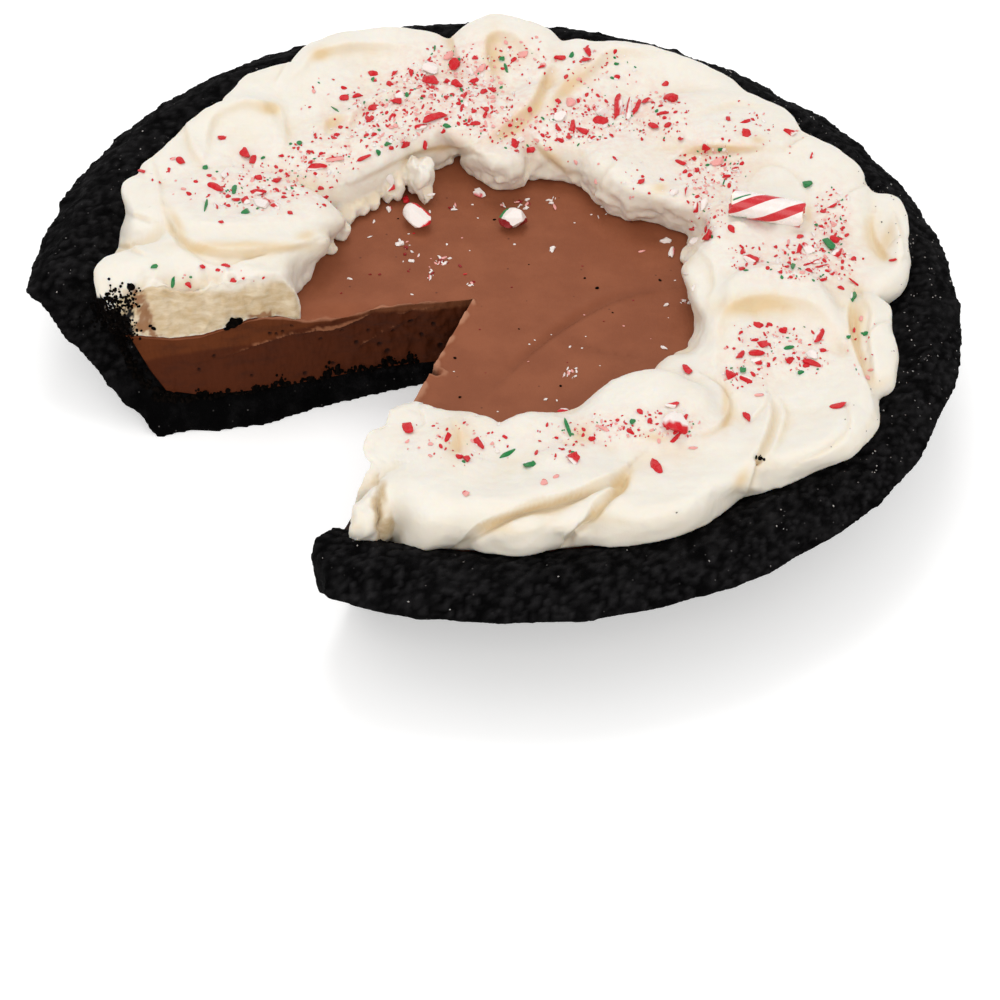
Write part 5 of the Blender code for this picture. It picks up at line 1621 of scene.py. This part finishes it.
def makeLump(name, node, numbers, corners, seed):
    # a large broken piece of white candy with red and green where its stripes end
    x, y, halfLength, halfWidth, height, turn = numbers
    draw = random.Random(seed)
    places, faces = brokenShape(draw, ballShape(5), candy["lumpSides"], candy["lumpFlatness"])
    lowest = pie["fillingTop"] + pie["gap"] + 0.5 * height
    tints = np.tile(candy["white"], (len(places), 1))
    for slant, edge, kind in corners:
        slant = np.array(slant) / np.linalg.norm(slant)
        wave = 0.10 * grain(places, 0.5, seed)
        tints = np.where((places @ slant + wave > edge)[:, None], candy[kind], tints)
    c, s = direction(turn)
    local = places * (halfLength, halfWidth, 0.5 * height)
    moved = np.stack([x + c * local[:, 0] - s * local[:, 1], y + s * local[:, 0] + c * local[:, 1],
                      lowest + local[:, 2]], -1)
    made = newPiece(name, moved, faces, candyFinish(name + "Sugar"))
    setTints(made, tints)
    shadeSmooth(made, 20.0)
    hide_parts(node)
    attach(made, "root")


# Candy cane
cane = {
    "middle": (69.0, 21.0, 44.5), "length": 20.0, "radius": 3.47, "turn": -6.0, "tilt": 5.0,
    "spacing": 11.5, "stripes": 3, "width": 0.42, "phase": 0.55, "chipping": 1.3, "greenFrom": 0.80,
    "greenTo": 0.89, "greenUpTo": -5.0, "endsFrom": 8.9, "sugar": (0.90, 0.84, 0.82),
    "redPale": (0.66, 0.02, 0.03), "brokenSugar": (0.86, 0.76, 0.62),
    "endRings": (0.0, 0.25, 0.5, 0.75, 0.9, 1.0),
}


def caneFinish():
    # two bold red stripes wind round white sugar, with a narrow green one between them
    made = Finish("stripedCandy")
    split = made.start.node("ShaderNodeSeparateXYZ", None, {"Vector": made.places})
    x, y, z = (Wire(split.tree, part) for part in split.socket.node.outputs)
    around = x.sum("ARCTAN2", z, y) * (0.5 / math.pi)
    wobble = (made.noise(6.0, 2.0) - 0.5) * 0.08
    wind = around * cane["stripes"] + x * (1.0 / (cane["spacing"] * mm)) + wobble + cane["phase"]
    wind = x.sum("FRACT", wind)
    red = wind.above(0.0, 0.015) * (1.0 - wind.above(cane["width"] - 0.015, cane["width"]))
    green = wind.above(cane["greenFrom"], cane["greenFrom"] + 0.015)
    green = green * (1.0 - wind.above(cane["greenTo"] - 0.015, cane["greenTo"]))
    green = green * (1.0 - (x * (1.0 / mm)).above(cane["greenUpTo"], cane["greenUpTo"] + 0.4))
    ends = (x.sum("ABSOLUTE", x) * (1.0 / mm)).above(cane["endsFrom"], cane["endsFrom"] + 0.5)
    cloud = made.noise(2.0, 3.0, 0.6).above(0.3, 0.8)
    sugar = cloud.mix(candy["white"], cane["sugar"])
    colour = red.mix(sugar, (cloud * 0.3).mix(candy["red"], cane["redPale"]))
    colour = green.mix(colour, candy["green"])
    colour = (ends * (1.0 - red)).mix(colour, cane["brokenSugar"])
    made.set(colour=colour, roughness=0.20 + 0.15 * cloud, specular=0.5, coat=0.2, coatRoughness=0.15,
             glow=0.25, glowColours=candy["glow"], glowDepth=1.0 * mm)
    made.bump(made.noise(1.2, 3.0, 0.6), 0.08)
    return made


def makeCane(finish, rings=60, sides=72):
    draw = random.Random(12)
    waves = [(draw.uniform(0, 6.28), draw.uniform(0.3, 1.0), number) for number in (1, 2, 3, 5, 8)]
    slant = 2.0 * np.pi * np.arange(sides) / sides
    half = 0.5 * cane["length"] - 0.1
    rows = []
    for end in (-1.0, 1.0):
        # a broken end, from its middle out to the round wall
        chipped = sum(size * np.sin(number * slant + start + end) for start, size, number in waves) * 0.16
        chipped = cane["chipping"] * np.clip(0.45 + chipped, 0.0, 1.0)
        disc = []
        for share in cane["endRings"]:
            pit = 0.5 * chipped + 0.5 * share * chipped + 0.25 * math.cos(share * 9.0) * (1.0 - share)
            radius = cane["radius"] * share * 0.98
            disc.append(np.stack([end * (half - pit), radius * np.cos(slant), radius * np.sin(slant)], -1))
        rows.append((disc, chipped))
    first, last = rows
    body = [first[0][0][:1], *first[0][1:]]
    for share in np.linspace(0.0, 1.0, rings)[1:-1]:
        x = (-half + first[1]) + (2.0 * half - first[1] - last[1]) * share
        body.append(np.stack([x, cane["radius"] * np.cos(slant), cane["radius"] * np.sin(slant)], -1))
    body += [*last[0][:0:-1], last[0][0][:1]]
    made = facedOut(newPiece("candyCane", np.vstack(body), loftFaces([len(ring) for ring in body]), finish))
    turn = Matrix.Rotation(math.radians(cane["turn"]), 4, "Z")
    tilt = Matrix.Rotation(math.radians(cane["tilt"]), 4, "Y")
    made.matrix_world = Matrix.Translation(Vector(cane["middle"]) * mm) @ turn @ tilt
    shadeSmooth(made, 35.0)
    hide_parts("candy_cane_piece")
    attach(made, "root")


# Loose crumbs
crumbs = {
    "seed": 21, "black": (0.002, 0.002, 0.002), "finish": ((0.0008, 0.0007, 0.0007), (0.006, 0.004, 0.003)),
    # along the foot of the filling: number, how far out, and the border's height on the way out
    "edge": 520, "edgeFrom": (4.0, 84.0), "edgeAt": (0, 16, 40, 60, 90), "edgeBy": (1.5, 1.2, 1.1, 0.6, 0.4),
    # at its outer end: number, heights, and how far out the crust begins at some of them
    "corner": 240, "cornerFrom": (8.0, 27.0), "cornerUp": (8, 9, 10.4, 15.6, 26),
    "cornerAt": (72, 79, 85, 89, 94),
    # grains of sugar on the rim
    "sugar": 260, "sugarSeed": 31, "sugarFrom": (103.0, 119.0), "sugarSizes": (0.25, 0.65),
    # in the photograph's frame: x, y, length, width, turn, then middle, spread and number of smaller ones
    "chunks": [
        (131, 287, 8, 8, 30), (233, 324, 16, 9, 25), (227, 328, 8, 4, 20), (239, 321, 8, 8, 0),
        (232, 320, 9, 6, 0), (153, 328, 7, 3.5, -35), (150, 326, 4, 3, 0), (760, 458, 7, 5, 0),
        (109, 279, 3, 3, 0), (127, 301, 6, 4, 0), (114, 302, 5, 4, 20),
    ],
    "sprinkled": [
        (116, 298, 6.5, 90), (110, 316, 7.0, 220), (121, 325, 6.0, 160), (101, 304, 5.0, 90),
        (127, 334, 5.0, 60), (128, 303, 5.0, 40), (137, 292, 4.0, 6), (760, 458, 2.5, 8),
    ],
}


def looseCrumbFinish():
    made = Finish("looseCrumb")
    made.set(colour=made.noise(1.0).above(0.35, 0.75).mix(*crumbs["finish"]), roughness=0.95, specular=0.02)
    made.bump(made.noise(0.5, 3.0, 0.7), 0.2)
    return made


def makeCrumbs(ground):
    # crumbs of the crust that the knife has dragged over the cut, and others where they fell
    draw = random.Random(crumbs["seed"])
    ball = ballShape(2)
    heap = Heap(ground)
    black = np.array(crumbs["black"])
    facing = Vector((*direction(pie["leftCut"] + 90.0), 0.0))
    ahead = Vector((*direction(pie["leftCut"]), 0.0))

    def onCutFace(along, height, size):
        start = Vector((*pie["point"], height)) + ahead * along + facing * 25.0
        spot = ground.along(start, -facing)
        if spot and spot[1].dot(facing) > 0.2:
            shape = brokenShape(draw, ball, 5, (0.7, 1.0))
            measure = (size * draw.uniform(0.9, 1.5), size, size * draw.uniform(0.6, 1.0))
            heap.attach(shape, measure, spot[0], spot[1], Vector((0.0, 0.0, 1.0)), black, 0.35)

    # a ragged border of crumbs along the filling's foot and its outer end
    for _ in range(crumbs["edge"]):
        along = draw.uniform(*crumbs["edgeFrom"])
        swell = max(0.25, 0.8 + 0.6 * math.sin(0.9 * along) + 0.5 * math.sin(0.37 * along + 1.0))
        reach = swell * float(np.interp(along, crumbs["edgeAt"], crumbs["edgeBy"]))
        lift = abs(draw.gauss(0.0, 1.0)) * reach
        size = draw.uniform(0.5, 1.5) * (0.6 if lift > 1.4 * reach else 1.0)
        onCutFace(along, pie["floor"] + lift, size)
    for _ in range(crumbs["corner"]):
        height = draw.uniform(*crumbs["cornerFrom"])
        along = float(np.interp(height, crumbs["cornerUp"], crumbs["cornerAt"])) + 0.8
        onCutFace(along - abs(draw.gauss(0.0, 1.3)), height, draw.uniform(0.5, 1.4))
    for x, y, length, width, turn in crumbs["chunks"]:
        heap.drop(brokenShape(draw, ball, 6, (0.6, 1.0)), x, y, length, width, turn, black, 0.5, 0.5)
    for x, y, spread, count in crumbs["sprinkled"]:
        for _ in range(count):
            size = draw.uniform(1.2, 3.2)
            shape = brokenShape(draw, ball, 4, (0.6, 1.0))
            spot = draw.gauss(x, spread), draw.gauss(y, 0.8 * spread)
            heap.drop(shape, *spot, size, size, draw.uniform(0, 180), black, 0.6, 0.3)
    for x, y, size in candy["crumbsOnFilling"]:
        heap.add(brokenShape(draw, ball, 5), (0.8 * size, size * 0.65, size * 0.5), x, y, 0.0, black, 0.35)
    heap.piece("looseCrumbs", looseCrumbFinish(), "dark_crumb")


def makeSugar(ground):
    # grains of sugar and candy dust on the crust's rim, more of them at the right
    draw = random.Random(crumbs["sugarSeed"])
    ball = ballShape(1)
    heap = Heap(ground)
    for _ in range(crumbs["sugar"]):
        angle = draw.choice((draw.uniform(-40, 75), draw.uniform(-40, 75), draw.uniform(0, 360)))
        radius = draw.uniform(*crumbs["sugarFrom"])
        size = draw.uniform(*crumbs["sugarSizes"])
        x, y = map(float, onPie(radius, angle))
        tint = draw.uniform(0.04, 0.4) * np.array((1.0, 0.96, 0.92))
        heap.add(ball, (size, size * 0.7, size * 0.6), x, y, draw.uniform(0, 180), tint, 0.2)
    heap.piece("sugarGrains", candyFinish("sugarGrain"), "candy_white")


picture = Picture(setCamera())
setStudio()
crustBody = makeCrust(crumbFinish())
fillingBody = makeFilling(fillingFinish())
creamBody = makeCream(creamFinish(), picture)
makeCane(caneFinish())
ground = Ground(picture, fillingBody, creamBody)
makeChips(ground)
makeDust(ground)
makeFillingCandy(ground)
makeLump("candyLeaf", "candy_lump_left", candy["leafLump"], candy["leafCorners"], 4)
makeLump("candyBlock", "candy_lump_right", candy["blockLump"], candy["blockCorners"], 6)
wholeGround = Ground(picture, crustBody, fillingBody, creamBody)
makeCrumbs(wholeGround)
makeSugar(wholeGround)
